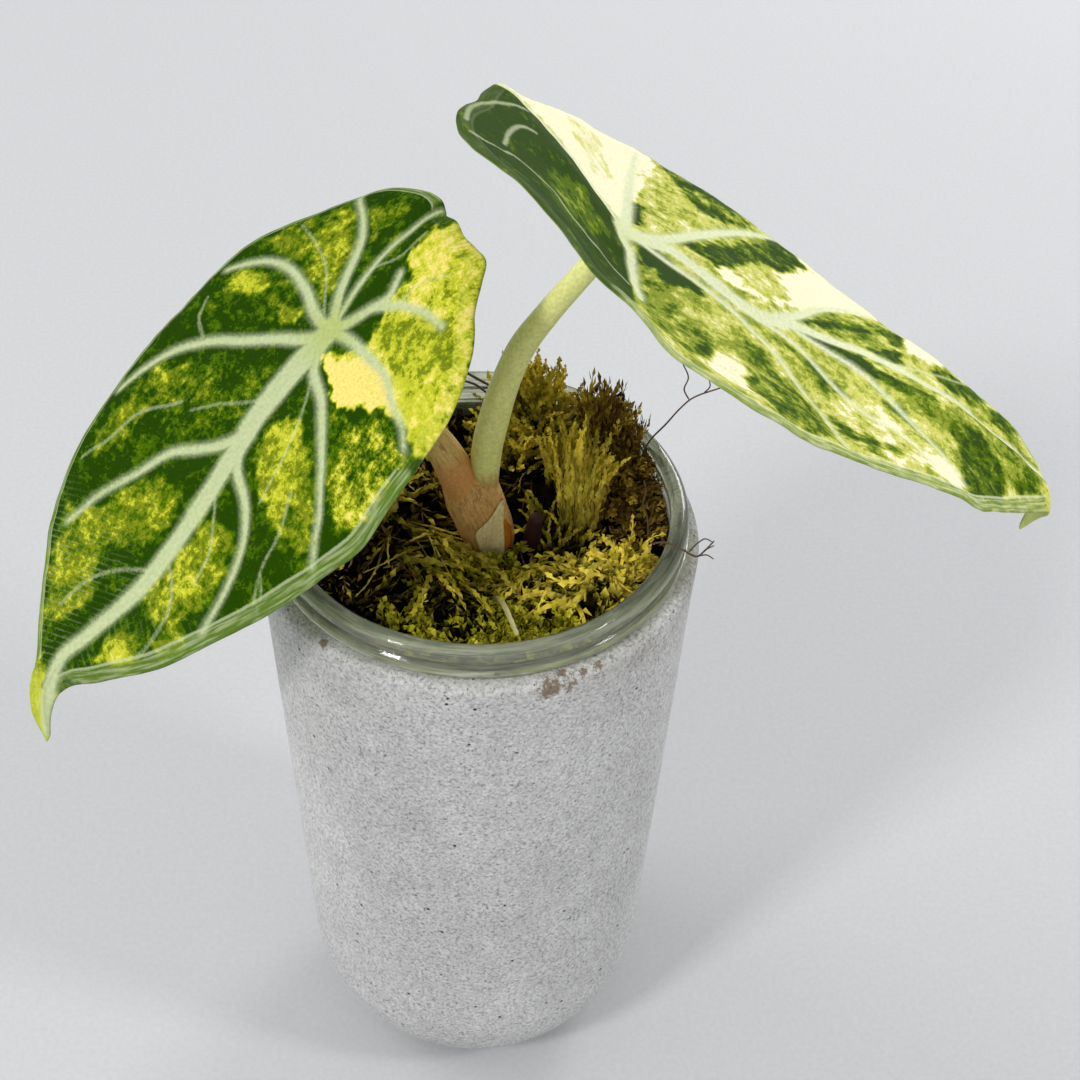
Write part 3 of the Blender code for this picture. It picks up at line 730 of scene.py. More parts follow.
def pick(piece: Piece) -> None:
    """Makes a piece the only selected and the active one."""
    deselect()
    piece.select_set(True)
    bpy.context.view_layer.objects.active = piece


def newest(name: str) -> Piece:
    """The piece that was just added, named on its mesh too."""
    piece = bpy.context.object
    piece.name = name
    piece.data.name = name
    return piece


def open_edit() -> None:
    """Opens the active piece in edit mode with all of it selected."""
    bpy.ops.object.mode_set(mode="EDIT")
    bpy.ops.mesh.select_all(action="SELECT")


def close_edit() -> None:
    """Turns all faces outwards and leaves edit mode."""
    bpy.ops.mesh.select_all(action="SELECT")
    bpy.ops.mesh.normals_make_consistent(inside=False)
    bpy.ops.object.mode_set(mode="OBJECT")


def paint(piece: Piece, kept: Kept) -> None:
    """Keeps numbers or vectors, one for each vertex of a piece, under their names."""
    for name, values in kept.items():
        kind, member = ("FLOAT_VECTOR", "vector") if values.ndim == 2 else ("FLOAT", "value")
        layer = piece.data.attributes.new(name, kind, "POINT")
        layer.data.foreach_set(member, values.astype(np.float32).ravel())


def dress(piece: Piece, material: Skin, slot: str, *nodes: str) -> Piece:
    """Gives a piece its material and body, hides the model's nodes that it replaces, and logs its number of
    faces.

    Args:
        piece: The piece.
        material: Its only material.
        slot: Not used.
        *nodes: The model's nodes that it replaces.

    Returns:
        The piece.
    """
    piece.data.materials.clear()
    piece.data.materials.append(material)
    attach(piece, BODY)
    if nodes:
        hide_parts(*nodes)
    LOG.info("%s: %d faces", piece.name, len(piece.data.polygons))
    return piece


def closed_skin(name: str, sectors: int, rings: int, carry: Carry) -> Piece:
    """A closed skin: a grid wound round itself, whose columns are sectors and whose rows are rings.

    Args:
        name: The piece's name.
        sectors: Columns in a full turn.
        rings: Rows from the first pole to the last one.
        carry: Gives the places, in millimetres, and the values to keep, from each vertex's sector and ring.

    Returns:
        The piece, shaded smooth, with its faces outward.
    """
    deselect()
    bpy.ops.mesh.primitive_grid_add(x_subdivisions=sectors, y_subdivisions=rings, size=2.0)
    piece = newest(name)
    flat = np.empty(len(piece.data.vertices) * 3, dtype=np.float32)
    piece.data.vertices.foreach_get("co", flat)
    flat = flat.reshape(-1, 3)
    sector = np.rint((flat[:, 0] + 1.0) / 2.0 * sectors).astype(int) % sectors
    ring = np.rint((1.0 - flat[:, 1]) / 2.0 * rings).astype(int)
    places, kept = carry(sector, ring)
    piece.data.vertices.foreach_set("co", (places * MM).astype(np.float32).ravel())
    paint(piece, kept)
    open_edit()
    bpy.ops.mesh.remove_doubles(threshold=MERGE_WITHIN)
    close_edit()
    piece.data.shade_smooth()
    return piece


def turned(name: str, profile: Sequence[Flat], steps: int) -> Piece:
    """A turned piece: a circle extruded and resized along a half section that starts and ends near the axis.

    Args:
        name: The piece's name.
        profile: Radius and height of each ring.
        steps: Sides of each ring.

    Returns:
        The piece, closed at both ends and shaded smooth.
    """
    deselect()
    radius, height = profile[0]
    bpy.ops.mesh.primitive_circle_add(vertices=steps, radius=radius * MM, location=(0.0, 0.0, height * MM))
    piece = newest(name)
    bpy.ops.object.transform_apply(location=True, rotation=False, scale=False)
    open_edit()
    for (radius, height), (next_radius, next_height) in zip(profile[:-1], profile[1:]):
        rise = (0.0, 0.0, (next_height - height) * MM)
        bpy.ops.mesh.extrude_region_move(TRANSFORM_OT_translate={"value": rise})
        grow = next_radius / radius
        bpy.ops.transform.resize(value=(grow, grow, 1.0), center_override=(0.0, 0.0, next_height * MM))
    bpy.ops.mesh.edge_face_add()
    bpy.ops.mesh.select_all(action="DESELECT")
    bpy.ops.mesh.select_non_manifold()
    bpy.ops.mesh.edge_face_add()
    close_edit()
    bpy.ops.object.shade_smooth_by_angle(angle=math.radians(SMOOTH_UP_TO))
    return piece


def arc(centre: Flat, radius: float, start: float, end: float, count: int) -> list[Flat]:
    """Points of a round stretch, angles in degrees from +X towards +Z."""
    angles = np.radians(np.linspace(start, end, count))
    return [(centre[0] + radius * math.cos(a), centre[1] + radius * math.sin(a)) for a in angles]


@dataclass(frozen=True)
class Tube:
    """A tapering stalk along a smooth route."""

    route: tuple[Station, ...]
    sectors: int = 20
    step: float = 0.9
    flatten: float = 1.0
    relief: float = 0.0
    relief_size: float = 3.0
    relief_level: float = 3.7
    relief_stretch: Place = (1.0, 1.0, 0.3)
    girth: float = 1.0
    side: Place = (0.0, 1.0, 0.0)

    def build(self, name: str) -> Piece:
        """Builds the stalk with rounded ends.

        Args:
            name: The piece's name.

        Returns:
            The piece, which holds its streak places and the share of its length at each vertex.
        """
        stations = chord_stations(self.route)
        length = stations[-1]
        rings = max(8, int(length / self.step))
        where = np.linspace(0.0, length, rings + 1)
        smooth = smooth_through(stations, self.route, where)
        centres = smooth[:, :3]
        start_round = np.clip(where / smooth[0, 3], 0.0, 1.0)
        end_round = np.clip((length - where) / smooth[-1, 3], 0.0, 1.0)
        ends = np.sqrt(1.0 - (1.0 - start_round) ** 2) * np.sqrt(1.0 - (1.0 - end_round) ** 2)
        radii = smooth[:, 3] * ends * self.girth
        ahead = np.gradient(centres, axis=0)
        ahead /= np.linalg.norm(ahead, axis=1)[:, None]
        side = np.array(self.side) - ahead * (ahead @ np.array(self.side))[:, None]
        side /= np.linalg.norm(side, axis=1)[:, None]
        other = np.cross(ahead, side)
        skin = Ripple(self.relief_size, self.relief_level, self.relief)

        def carry(sector: Array, ring: Array) -> tuple[Array, Kept]:
            """Places and kept values of the vertices."""
            angle = 2.0 * math.pi * sector / self.sectors
            across = np.cos(angle) * radii[ring]
            aside = np.sin(angle) * radii[ring]
            grain = np.column_stack((across, aside, where[ring]))
            swell = 1.0 + skin.over(grain * self.relief_stretch)
            places = centres[ring] + side[ring] * (across * swell * self.flatten)[:, None]
            places += other[ring] * (aside * swell)[:, None]
            return places, {"grain": grain * MM, "share": where[ring] / length}

        return closed_skin(name, self.sectors, rings, carry)


@dataclass(frozen=True)
class Flap:
    """A thin papery sheath patch that hugs the front of the stem, outlined in x and z."""

    corners: tuple[Flat, ...]
    lift: float
    thickness: float = 0.3
    rings: int = 12
    per_corner: int = 8
    seated: float = 0.35

    def build(self, name: str, front: Callable[[Array, Array], Array]) -> Piece:
        """Builds the patch.

        Args:
            name: The piece's name.
            front: Gives the y of the stem's front from x and z.

        Returns:
            The piece.
        """
        middle = np.array(self.corners).mean(axis=0)
        edge = closed_curve(self.corners, self.per_corner, 2)

        def carry(sector: Array, ring: Array) -> tuple[Array, Kept]:
            """Places and kept values of the vertices."""
            outer = ring <= self.rings
            reach = np.where(outer, ring, 2 * self.rings - ring) / self.rings
            flat = middle + (edge[sector] - middle) * reach[:, None]
            crown = np.where(outer, self.thickness, 0.0) * np.sqrt(1.0 - reach ** 2)
            curl = self.lift * (self.seated + (1.0 - self.seated) * reach ** 3)
            y = front(flat[:, 0], flat[:, 1]) - crown - curl
            places = np.column_stack((flat[:, 0], y, flat[:, 1]))
            return places, {"grain": places * MM, "share": reach}

        return closed_skin(name, len(edge), 2 * self.rings, carry)


@dataclass
class Pot:
    """The tapered concrete cachepot."""

    height: float = 165.0
    rim_radius: float = 50.0
    foot_taper: float = 8.0
    wall: float = 5.1
    floor: float = 10.0
    floor_round: float = 4.0
    foot_width: float = 21.0
    foot_height: float = 31.0
    lip_outer: float = 2.2
    lip_inner: float = 1.0
    inside_levels: tuple[float, ...] = (13.0, 17.0, 22.0, 28.0, 34.0, 60.0, 100.0, 130.0)
    below_lip: float = 12.0
    above_foot: float = 6.0
    steps: int = 192
    finish: ConcreteFinish = field(default_factory=ConcreteFinish)

    def radius(self, z: float) -> float:
        """Outer radius at a height: a straight taper, drawn in by a quarter ellipse at the foot."""
        radius = self.rim_radius - self.foot_taper * (self.height - z) / self.height
        if z < self.foot_height:
            drop = (self.foot_height - z) / self.foot_height
            radius -= self.foot_width * (1.0 - math.sqrt(max(0.0, 1.0 - drop ** 2)))
        return radius

    def profile(self) -> list[Flat]:
        """Half section from the middle of the inner floor over the lip to the middle of the foot."""
        inner = [(AXIS_GAP, self.floor), (self.radius(self.floor) - self.wall - self.floor_round, self.floor)]
        inner += [(self.radius(z) - self.wall, z) for z in self.inside_levels]
        mouth = self.rim_radius - self.wall
        lip = arc((mouth + self.lip_inner, self.height - self.lip_inner), self.lip_inner, 180.0, 90.0, 5)
        lip_centre = (self.rim_radius - self.lip_outer, self.height - self.lip_outer)
        lip += arc(lip_centre, self.lip_outer, 90.0, 0.0, 9)
        levels = np.linspace(self.height - self.below_lip, self.foot_height + self.above_foot, 12)
        outer = [(self.radius(z), z) for z in levels]
        turns = np.linspace(0.0, math.pi / 2.0, 22)
        foot = [(self.radius(z), z) for z in self.foot_height * (1.0 - np.sin(turns))]
        return inner + lip + outer + foot + [(AXIS_GAP, 0.0)]

    def build(self) -> Piece:
        """Builds and dresses the pot."""
        piece = turned("pot_shell", self.profile(), self.steps)
        return dress(piece, self.finish.material(), "concrete", "concrete_pot")


@dataclass
class Cup:
    """The clear plastic cup with its double rolled rim."""

    seat_z: float = 165.3
    wall: float = 1.2
    neck_radius: float = 44.3
    foot_radius: float = 38.0
    depth: float = 113.0
    foot_round: float = 4.0
    upper_bead: float = 2.2
    lower_bead: float = 1.75
    upper_reach: float = 47.2
    lower_reach: float = 47.5
    bead_step: float = 4.0
    bead_opening: float = 58.0
    steps: int = 192
    finish: PlasticFinish = field(default_factory=PlasticFinish)

    def radius(self, z: float) -> float:
        """Outer radius of the plain wall at a height."""
        return self.neck_radius + (self.foot_radius - self.neck_radius) * (self.seat_z - z) / self.depth

    def inner_radius(self, z: float) -> float:
        """Inner radius of the wall at a height."""
        return self.radius(min(z, self.seat_z)) - self.wall

    def profile(self) -> list[Flat]:
        """Half section from the middle of the inner floor over the rim to the middle of the foot."""
        floor = self.seat_z - self.depth
        wall_foot = floor + self.foot_round
        foot_centre = (self.radius(wall_foot) - self.foot_round, wall_foot)
        neck = self.neck_radius - self.wall
        upper = (self.upper_reach - self.upper_bead, self.seat_z + self.lower_bead + self.bead_step)
        entry = math.degrees(math.acos((neck - upper[0]) / self.upper_bead))
        lower = (self.lower_reach - self.lower_bead, self.seat_z + self.lower_bead)
        points = [(AXIS_GAP, floor + self.wall)]
        points += arc(foot_centre, self.foot_round - self.wall, 270.0, 360.0, 8)
        points += [(neck, self.seat_z)]
        points += arc(upper, self.upper_bead, entry, -self.bead_opening, 20)
        points += arc(lower, self.lower_bead, self.bead_opening, -90.0, 14)
        points += [(self.neck_radius, self.seat_z), (self.radius(wall_foot), wall_foot)]
        points += arc(foot_centre, self.foot_round, 0.0, -90.0, 8)[1:]
        return points + [(AXIS_GAP, floor)]

    def build(self) -> Piece:
        """Builds and dresses the cup."""
        piece = turned("cup_clear", self.profile(), self.steps)
        return dress(piece, self.finish.material(), "clear_plastic", "clear_cup")


def points(text: str) -> tuple:
    """Points from a text, with spaces between their numbers and commas between the points."""
    return tuple(tuple(float(number) for number in point.split()) for point in text.split(","))


def rows(text: str) -> Iterator[tuple[float, float, tuple]]:
    """Rows from a text: two numbers, a colon and points, where an indented line carries a row on."""
    for row in text.strip().replace("\n    ", " ").split("\n"):
        numbers, places = row.split(":")
        first, second = numbers.split()
        yield float(first), float(second), points(places)


@dataclass(frozen=True)
class Vein:
    """A vein of a blade: its width at both ends, and its points across and along the blade."""

    start: float
    end: float
    points: tuple[Flat, ...]


@dataclass(frozen=True)
class Patch:
    """An area of a blade: its tone, from 0, dark green, to 1, cream, and how speckled it is."""

    tone: float
    speckle: float
    corners: tuple[Flat, ...]


@dataclass
class Leaf:
    """One shield-shaped blade, placed as the model's own blade is."""

    name: str
    node: str
    hub: Place
    heading: float
    droop: float
    roll: float
    outline: tuple[Place, ...]
    midrib: tuple[Flat, ...]
    spine: tuple[Flat, ...]
    rise: Flat
    cup: Flat
    rear_rise: Flat
    twist: float
    edge_drop: float
    tip_bend: Place
    veins: Sequence[Vein]
    threads: Sequence[Vein]
    ground: Patch
    patches: Sequence[Patch]
    finish: LeafFinish
    band_side: float
    calm: Sequence[Patch] = ()
    comb_from: float = 58.0
    hub_size: float = 2.4
    thickness: float = 0.8
    ridge_softness: float = 3.0
    rear_softness: float = 7.0
    edge_band: float = 0.86
    per_point: int = 13
    top_rings: int = 108
    under_rings: int = 32
    ring_crowding: float = 0.92
    edge_reach: float = 1.003
    edge_depths: Place = (0.12, 0.5, 0.88)
    under_from: float = 0.6
    pillow_rise: float = 0.5
    pillow_width: float = 5.0
    calm_margin: float = 7.0
    groove_width: float = 1.1
    groove_top: float = 0.22
    groove_under: float = 0.55
    buckle: Ripple = Ripple(9.0, 1.3, 0.45)
    crinkle: Ripple = Ripple(3.6, 6.6, 0.16)
    wave: Ripple = Ripple(13.0, 9.9, 0.7)
    patch_wander: tuple[Ripple, ...] = (Ripple(6.5, 8.8, 1.7), Ripple(2.4, 4.1, 1.4), Ripple(1.1, 2.7, 0.9))
    patch_softness: float = 1.6
    band_thin: float = 0.42
    band_run: float = 4.0
    comb_slant: float = 0.45
    comb_run: float = 14.0
    hub_glow: float = 8.0

    def axes(self) -> tuple[Array, Array, Array]:
        """Directions across the blade, along it towards the tip, and out of its upper face."""
        heading, droop, roll = (math.radians(a) for a in (self.heading, self.droop, self.roll))
        ahead = np.array([math.cos(heading), math.sin(heading), 0.0])
        above = np.array([0.0, 0.0, 1.0])
        along = ahead * math.cos(droop) - above * math.sin(droop)
        level_up = ahead * math.sin(droop) + above * math.cos(droop)
        up = level_up * math.cos(roll) + np.cross(along, level_up) * math.sin(roll)
        return np.cross(along, up), along, up

    def margin(self) -> Array:
        """The closed outline, smoothed: across, along and lift of each sample."""
        return closed_curve(self.outline, self.per_point, 3)

    def midrib_place(self, along: Array) -> Array:
        """Sideways place of the midrib at stations along the blade."""
        return smooth_through([s for s, _ in self.midrib], [p for _, p in self.midrib], along)[:, 0]

    def height(self, across: Array, along: Array, reach: Array, lift: Array) -> Array:
        """Height of the upper face over the hub's plane.

        Args:
            across: Places across the blade.
            along: Places along the blade.
            reach: 0 at the hub and 1 at the margin.
            lift: Lift of the margin beyond each place.

        Returns:
            One height for each place.
        """
        along = np.minimum(along, self.spine[-1][0])
        height = smooth_through([s for s, _ in self.spine], [h for _, h in self.spine], along)[:, 0]
        first = across > 0.0
        ridge = np.sqrt(across ** 2 + self.ridge_softness ** 2) - self.ridge_softness
        rear = 1.0 / (1.0 + np.exp(along / self.rear_softness))
        height += np.where(first, self.cup[0], self.cup[1]) * across ** 2
        height += np.where(first, self.rise[0], self.rise[1]) * ridge
        height += np.where(first, self.rear_rise[0], self.rear_rise[1]) * ridge * rear
        height += self.twist * across * along + lift * reach ** 3
        edge = np.clip((reach - self.edge_band) / (1.0 - self.edge_band), 0.0, 1.0)
        return height - self.edge_drop * edge ** 2

    def bent_tip(self, along: Array) -> tuple[Array, Array]:
        """Where the drip tip bends down: the reach along the blade and the drop below it."""
        start, radius, limit = self.tip_bend
        limit = math.radians(limit)
        beyond = np.maximum(along - start, 0.0)
        angle = np.minimum(beyond / radius, limit)
        straight = beyond - angle * radius
        ahead = np.minimum(along, start) + radius * np.sin(angle) + straight * math.cos(limit)
        return ahead, radius * (1.0 - np.cos(angle)) + straight * math.sin(limit)

    def vein_field(self, places: Array, veins: Sequence[Vein]) -> tuple[Array, Array]:
        """Distance of each place to the middle and to the edge of the nearest of some veins."""
        middle = np.full(len(places), FAR)
        edge = np.full(len(places), FAR)
        for vein in veins:
            away, share = distance_to(places, drawn_line(vein.points))
            width = vein.start + (vein.end - vein.start) * share
            middle = np.minimum(middle, away)
            edge = np.minimum(edge, away - width / 2.0)
        return middle, edge

    def painted(self, places: Array, ground: Patch,
                patches: Sequence[Patch]) -> tuple[Array, Array]:
        """Tone and speckle of each place, with later patches laid over earlier ones."""
        tone = np.full(len(places), ground.tone)
        speckle = np.full(len(places), ground.speckle)
        wander = sum(ripple.over(places) for ripple in self.patch_wander)
        for patch in patches:
            depth = depth_inside(places, patch.corners) + wander
            share = np.clip(depth / self.patch_softness + 0.5, 0.0, 1.0)
            tone += (patch.tone - tone) * share
            speckle += (patch.speckle - speckle) * share
        return tone, speckle

    def build(self) -> Piece:
        """Builds and dresses the blade."""
        margin = self.margin()
        sectors = len(margin)
        top = (np.arange(self.top_rings + 1) / self.top_rings) ** self.ring_crowding
        under = 1.0 - np.arange(self.under_rings + 1) / self.under_rings
        reaches = np.concatenate((top, [self.edge_reach], under))
        depths = np.concatenate((np.zeros(self.top_rings), self.edge_depths, np.ones(self.under_rings)))
        side, ahead, up = self.axes()

        def carry(sector: Array, ring: Array) -> tuple[Array, Kept]:
            """Places and kept values of the vertices."""
            edge_across, edge_along, lift = margin[sector].T
            reach = reaches[ring]
            along = edge_along * reach
            across = (edge_across - self.midrib_place(edge_along)) * reach + self.midrib_place(along)
            places = np.column_stack((across, along))
            middle, vein = self.vein_field(places, self.veins)
            vein = np.minimum(vein, np.hypot(across, along) - self.hub_size)
            _, thread = self.vein_field(places, self.threads)
            closed = np.vstack((margin[::3, :2], margin[:1, :2]))
            rim, _ = distance_to(places, closed)
            rim = np.where(reach > 0.999, 0.0, rim)
            inner = np.clip(rim / self.calm_margin, 0.0, 1.0)
            below = depths[ring] > self.under_from
            relief = self.pillow_rise * (1.0 - np.exp(-(middle / self.pillow_width) ** 2)) * inner
            relief += self.buckle.over(places) * inner + self.crinkle.over(places)
            relief += self.wave.over(places) * reach ** 4
            groove = np.exp(-(middle / self.groove_width) ** 2)
            relief -= np.where(below, self.groove_under, self.groove_top) * groove
            height = self.height(across, along, reach, lift) + relief - depths[ring] * self.thickness
            off_midrib = across - self.midrib_place(along)
            wide_side = 1.0 / (1.0 + np.exp(-self.band_side * off_midrib / self.band_run))
            band = self.band_thin + (1.0 - self.band_thin) * wide_side
            tone, speckle = self.painted(places, self.ground, self.patches)
            band_share, _ = self.painted(places, Patch(1.0, 0.0, ()), self.calm)
            comb_share = np.clip((along - self.comb_from) / self.comb_run, 0.0, 1.0)
            kept = {
                "blade": np.column_stack((places, places[:, 0] * 0.0)) * MM,
                "tone": tone,
                "speckle": speckle,
                "vein": vein,
                "thread": thread,
                "rim": rim / band,
                "band": band_share,
                "edge": np.column_stack((rim, chord_stations(margin)[sector], rim * 0.0)) * MM,
                "under": below.astype(float),
                "comb": along - self.comb_slant * np.abs(off_midrib),
                "comb_share": comb_share * np.where(off_midrib > 0.0, 1.0, 0.5),
                "hub": np.clip(1.3 - np.hypot(across, along) / self.hub_glow, 0.0, 1.0),
            }
            reached, drop = self.bent_tip(along)
            shape = np.outer(across, side) + np.outer(reached, ahead) + np.outer(height - drop, up)
            return np.array(self.hub) + shape, kept

        piece = closed_skin(self.name, sectors, len(reaches) - 1, carry)
        return dress(piece, self.finish.material(), "leaf", self.node)


# Outlines hold across, along and lift. Rows of veins start with both widths, and rows of patches with tone
# and speckle, later ones over earlier ones. Calm rows start with the share of the margin's streaks kept.
LEFT_OUTLINE = points("""
-0.2 105 0.1, 2.4 104.3 0, 6.1 102.8 0.1, 9 99.6 -0.2, 12.4 94.8 -0.1, 18.7 87.6 0.1, 25.9 78.4 0.1,
32.5 69 0, 37.4 59.5 -0.1, 40.6 50.6 0, 42.4 40.9 0, 43.3 32.3 0.1, 43.4 26.5 0.2, 43.6 19.1 -0.3,
42.6 7.8 0, 40.3 -3.8 0.2, 33.2 -14.5 0, 26.3 -23.3 -0.2, 19.7 -30.5 0, 13.3 -33.6 0, 7.3 -35 0,
2.2 -34.8 -0.1, -1.6 -33 -0.1, -5.4 -33.3 0, -12 -31.7 0.1, -17.6 -31.2 -0.1, -22.7 -30.4 -0.1,
-26.4 -26.6 0, -30.7 -21.5 0.1, -36.6 -16.6 0.1, -40.9 -10.6 0, -43.7 -2.3 -0.1, -43.4 7.6 0, -43 18.6 0.2,
-41.9 28.1 0, -36.9 38.2 0, -30.1 50.9 -0.1, -22.1 63.6 0, -13.6 76.5 0.1, -3.1 87.8 0, 2.9 93.9 0,
3.9 97.6 -0.1, 3 100.6 -0.1
""")
LEFT_VEINS = [Vein(*row) for row in rows("""
6.2 1.5: 0 0, 1.5 14, 1.8 27, 0.8 34, 0.2 47, -0.3 59, 1.2 70, 4.6 81, 6.6 90, 4.2 98.5, 0.5 103.5
2.5 0.7: 0 0, 4 0, 15 -3, 25 -4, 31 -2, 36 2, 39 5
2.5 0.8: 0 1, 2 3, 12 9, 20 14, 28 19, 34 25, 38 33, 40 40
2.2 0.6: 1.5 27, 4 31, 10 37, 16 42, 20 50, 25 60, 27 68
2.4 0.8: 1 -2, 5 -7, 8 -13, 12 -19, 16 -22, 23 -25
1.2 0.6: 0 -2, 2 -13, 2 -20, 1 -26, 0 -33
2.6 1: 0 0, -3 -3, -6 -9, -8 -13, -6 -18
1.8 0.8: -6 -9, -9 -11, -13 -13, -21 -15, -28 -15
2.2 0.6: 0 0, -7 -1, -14 -1, -23 0, -29 3, -35 5, -39 8
2.3 0.7: 0 3, -3 8, -11 12, -18 18, -25 25, -30 31, -34 38
2.1 0.6: 1 31, -2 34, -9 38, -14 43, -17 49, -18.5 56, -19 64
""")]
LEFT_THREADS = [Vein(*row) for row in rows("""
0.6 0.5: -19 30, -23 38, -24 46, -26 52
0.7 0.5: 0 58, -6 61, -10 67, -10 73, -9 78
0.7 0.5: 22 32, 30 41, 32 49, 35 56
0.7 0.5: 30 19, 35 16, 37 12
0.7 0.5: 0 62, 6 66, 12 73, 15 82
0.6 0.4: 0 40, -6 46, -10 52, -11 58
0.5 0.4: -4 9, -9 17, -12 26, -13 36
0.6 0.4: 1 18, 7 23, 13 27, 18 32
0.6 0.4: -12 -12, -14 -19, -20 -24
0.5 0.4: 5 -2, 13 -9, 22 -12, 30 -13
0.5 0.4: 2 -15, -3 -21, -4 -28
0.5 0.4: -24 46, -27 50, -28 54
""")]
LEFT_PATCHES = [Patch(*row) for row in rows("""
0.22 0.5: 38 5, 34 0, 23 -2, 11 -1, 10 4, 15 7, 25 7, 32 9
0.16 0.42: 37 15, 35 8, 24 7, 14 8, 27 15, 33 19
0.18 0.42: 28 42, 16 33, 7 30, 10 36, 19 43, 21 51, 27 51
0.14 0.34: -14 39, -24 37, -31 41, -29 49, -23 51, -20 44
0.68 0.5: -3 5, -9 7, -15 11, -22 9, -28 5, -35 5, -46 7, -48 -4, -40 -14, -36 -20, -28 -32, -14 -34,
    -7 -33, -4 -29, -5 -22, -10 -19, -9 -11, -12 -10, -11 -3, -8 1
0.95 0.2: -3 5, -12 9, -16 11, -26 7, -29 2, -22 -1, -14 -1, -10 2
0.68 0.3: -24 -1, -33 3, -42 6, -44 1, -38 -5, -30 -4
0.54 0.4: -13 -10, -20 -15, -32 -16, -38 -12, -34 -5, -24 -2, -14 -4
0.76 0.36: -5 -22, -4 -29, -8 -32, -16 -30, -19 -22, -13 -19
0.4 0.8: -15 13, -27 8, -35 6, -41 9, -43 15, -42 22, -36 29, -28 26, -20 18
0.54 0.7: -27 23, -33 18, -40 14, -42 17, -40 23, -34 28
0.24 0.5: -13 13, -15 21, -22 25, -27 23, -24 16, -20 12
0.56 0.42: -3 20, -9 19, -17 21, -19 24, -24 25, -28 30, -31 35, -30 37, -25 37, -19 38, -14 36, -7 33,
    -5 29, -3 24
0.42 0.5: -19 25, -24 25, -29 31, -31 36, -25 37, -20 33
0.42 0.5: 21 54, 12 46, 7 46, 3 52, 6 60, 15 66, 21 64, 22 58
0.44 0.48: 30 66, 23 60, 16 64, 12 70, 10 76, 12 84, 17 86, 23 79, 29 70
0.4 0.5: -1 56, -4 46, -12 45, -17 50, -16 60, -13 67, -5 71, 1 69
0.5 0.5: -4 52, -10 50, -13 56, -12 63, -5 70, 0 68, -1 61
0.5 0.4: 0 48, -2 45, -7 49, -5 53
0.56 0.4: 0 79, -4 75, -9 77, -7 83, 0 86
0.46 0.4: -10 73, -16 67, -18 70, -14 75
0.56 0.4: 35 3, 28 0, 25 3, 28 8, 35 8
0.52 0.4: 18 3, 14 1, 11 3, 14 5
0.36 0.5: 38 -5, 34 -10, 24 -21, 19 -23, 13 -19, 8 -12, 7 -7, 9 -4, 17 -5, 25 -6
0.46 0.46: 24 -12, 22 -19, 19 -21, 12 -16, 9 -9, 10 -5, 16 -6
0.36 0.5: 17 -24, 11 -31, 7 -29, 8 -20
0.24 0.44: 5 -13, 3 -24, 0 -29, -1 -18, 0 -10
0.22 0.56: 36 32, 28 24, 16 18, 7 14, 2 20, 5 28, 12 34, 20 38, 30 39, 39 39
0.46 0.5: 36 30, 28 25, 24 28, 31 33
0.36 0.5: 37 44, 34 38, 28 38, 28 45, 32 53, 35 52
0.55 0.2: 7 94, 14 92, 21 83, 33 69, 37 71, 22 91, 12 104, 6 102
0.62 0.1: -8 97, 10 97, 10 110, -8 110
""")]
LEFT_CALM = [Patch(*row) for row in rows("""
0.12 0: 6 -44, -50 -30, -50 12, -36 12, -26 -20, -14 -27, 2 -29
0.25 0: 14 96, 6 93, -4 91, -6 110, 12 110
""")]
RIGHT_OUTLINE = points("""
0.6 120.6 0.6, 3.8 115.6 1.4, 9.2 108.6 1.2, 14.9 101.1 -0.1, 22.1 93.8 0, 30.6 84.6 -0.1, 34.7 76.5 0,
38.3 66.8 0.1, 41.9 57.9 0.2, 46.3 47.9 0.4, 50.9 37.9 -0.3, 53.5 27.9 -0.6, 53.8 17.7 -0.3, 52.7 7.4 0.7,
50.7 -2.9 1.5, 47.7 -12.8 -0.9, 43.5 -22.8 -0.4, 38.6 -31.7 0.6, 33.9 -38.4 0.1, 27.5 -42.4 -0.3,
19.6 -43.7 0.1, 11 -42.1 0, 4.1 -39.5 0, -1.5 -38.6 0, -8.1 -37 0.3, -13.7 -34.9 0.7, -20 -28.6 0.1,
-30.9 -20.8 -0.3, -41.5 -12.9 -0.1, -50.1 -5.1 0.2, -54.2 4.2 0.3, -54 14.7 -0.2, -51.2 27.8 -0.3,
-48.3 41.3 -0.2, -42.8 53.8 -0.4, -35 63.9 -0.1, -28.8 71.5 0, -25.7 83.1 0.4, -24.2 93.6 0.6,
-19.2 102.9 1.3, -10.4 108.6 1, -4.2 114 0.8
""")
RIGHT_VEINS = [Vein(*row) for row in rows("""
4.6 1.1: 0 0, -3 7, -4.5 12, -2 17, 1 22, 3 28, 3 34, -3 43, -5 51, -6.5 59, -6 67, -5.4 76, -6 85, -6 94,
    -6 102, -4 107, 0 112, 1 117
2.2 0.9: -1 0, -4 -3.6, -8.4 -9, -9.4 -16, -11 -23, -13 -30, -13 -36
2.6 1.5: 0 0, 2 0, 6 2, 12 3, 18 4, 23 5
3 0.9: -1 0, -5 1, -25 3, -51 6
3.4 1.2: 0 0, -2 2, -7 9, -21 20, -40 35, -47 42
2.6 1: 2 36, -6 42, -23 54, -30 66
1.4 0.6: -1 5, 4 18, 8 28, 14 37, 21 43, 30 48, 40 50
1.3 0.6: 3 28, 4 34, 5 42, 11 50, 17 59, 19 67, 25 74
1.3 0.6: -1 42, 1 54, 6 63, 13 70, 19 77, 25 82
""")]
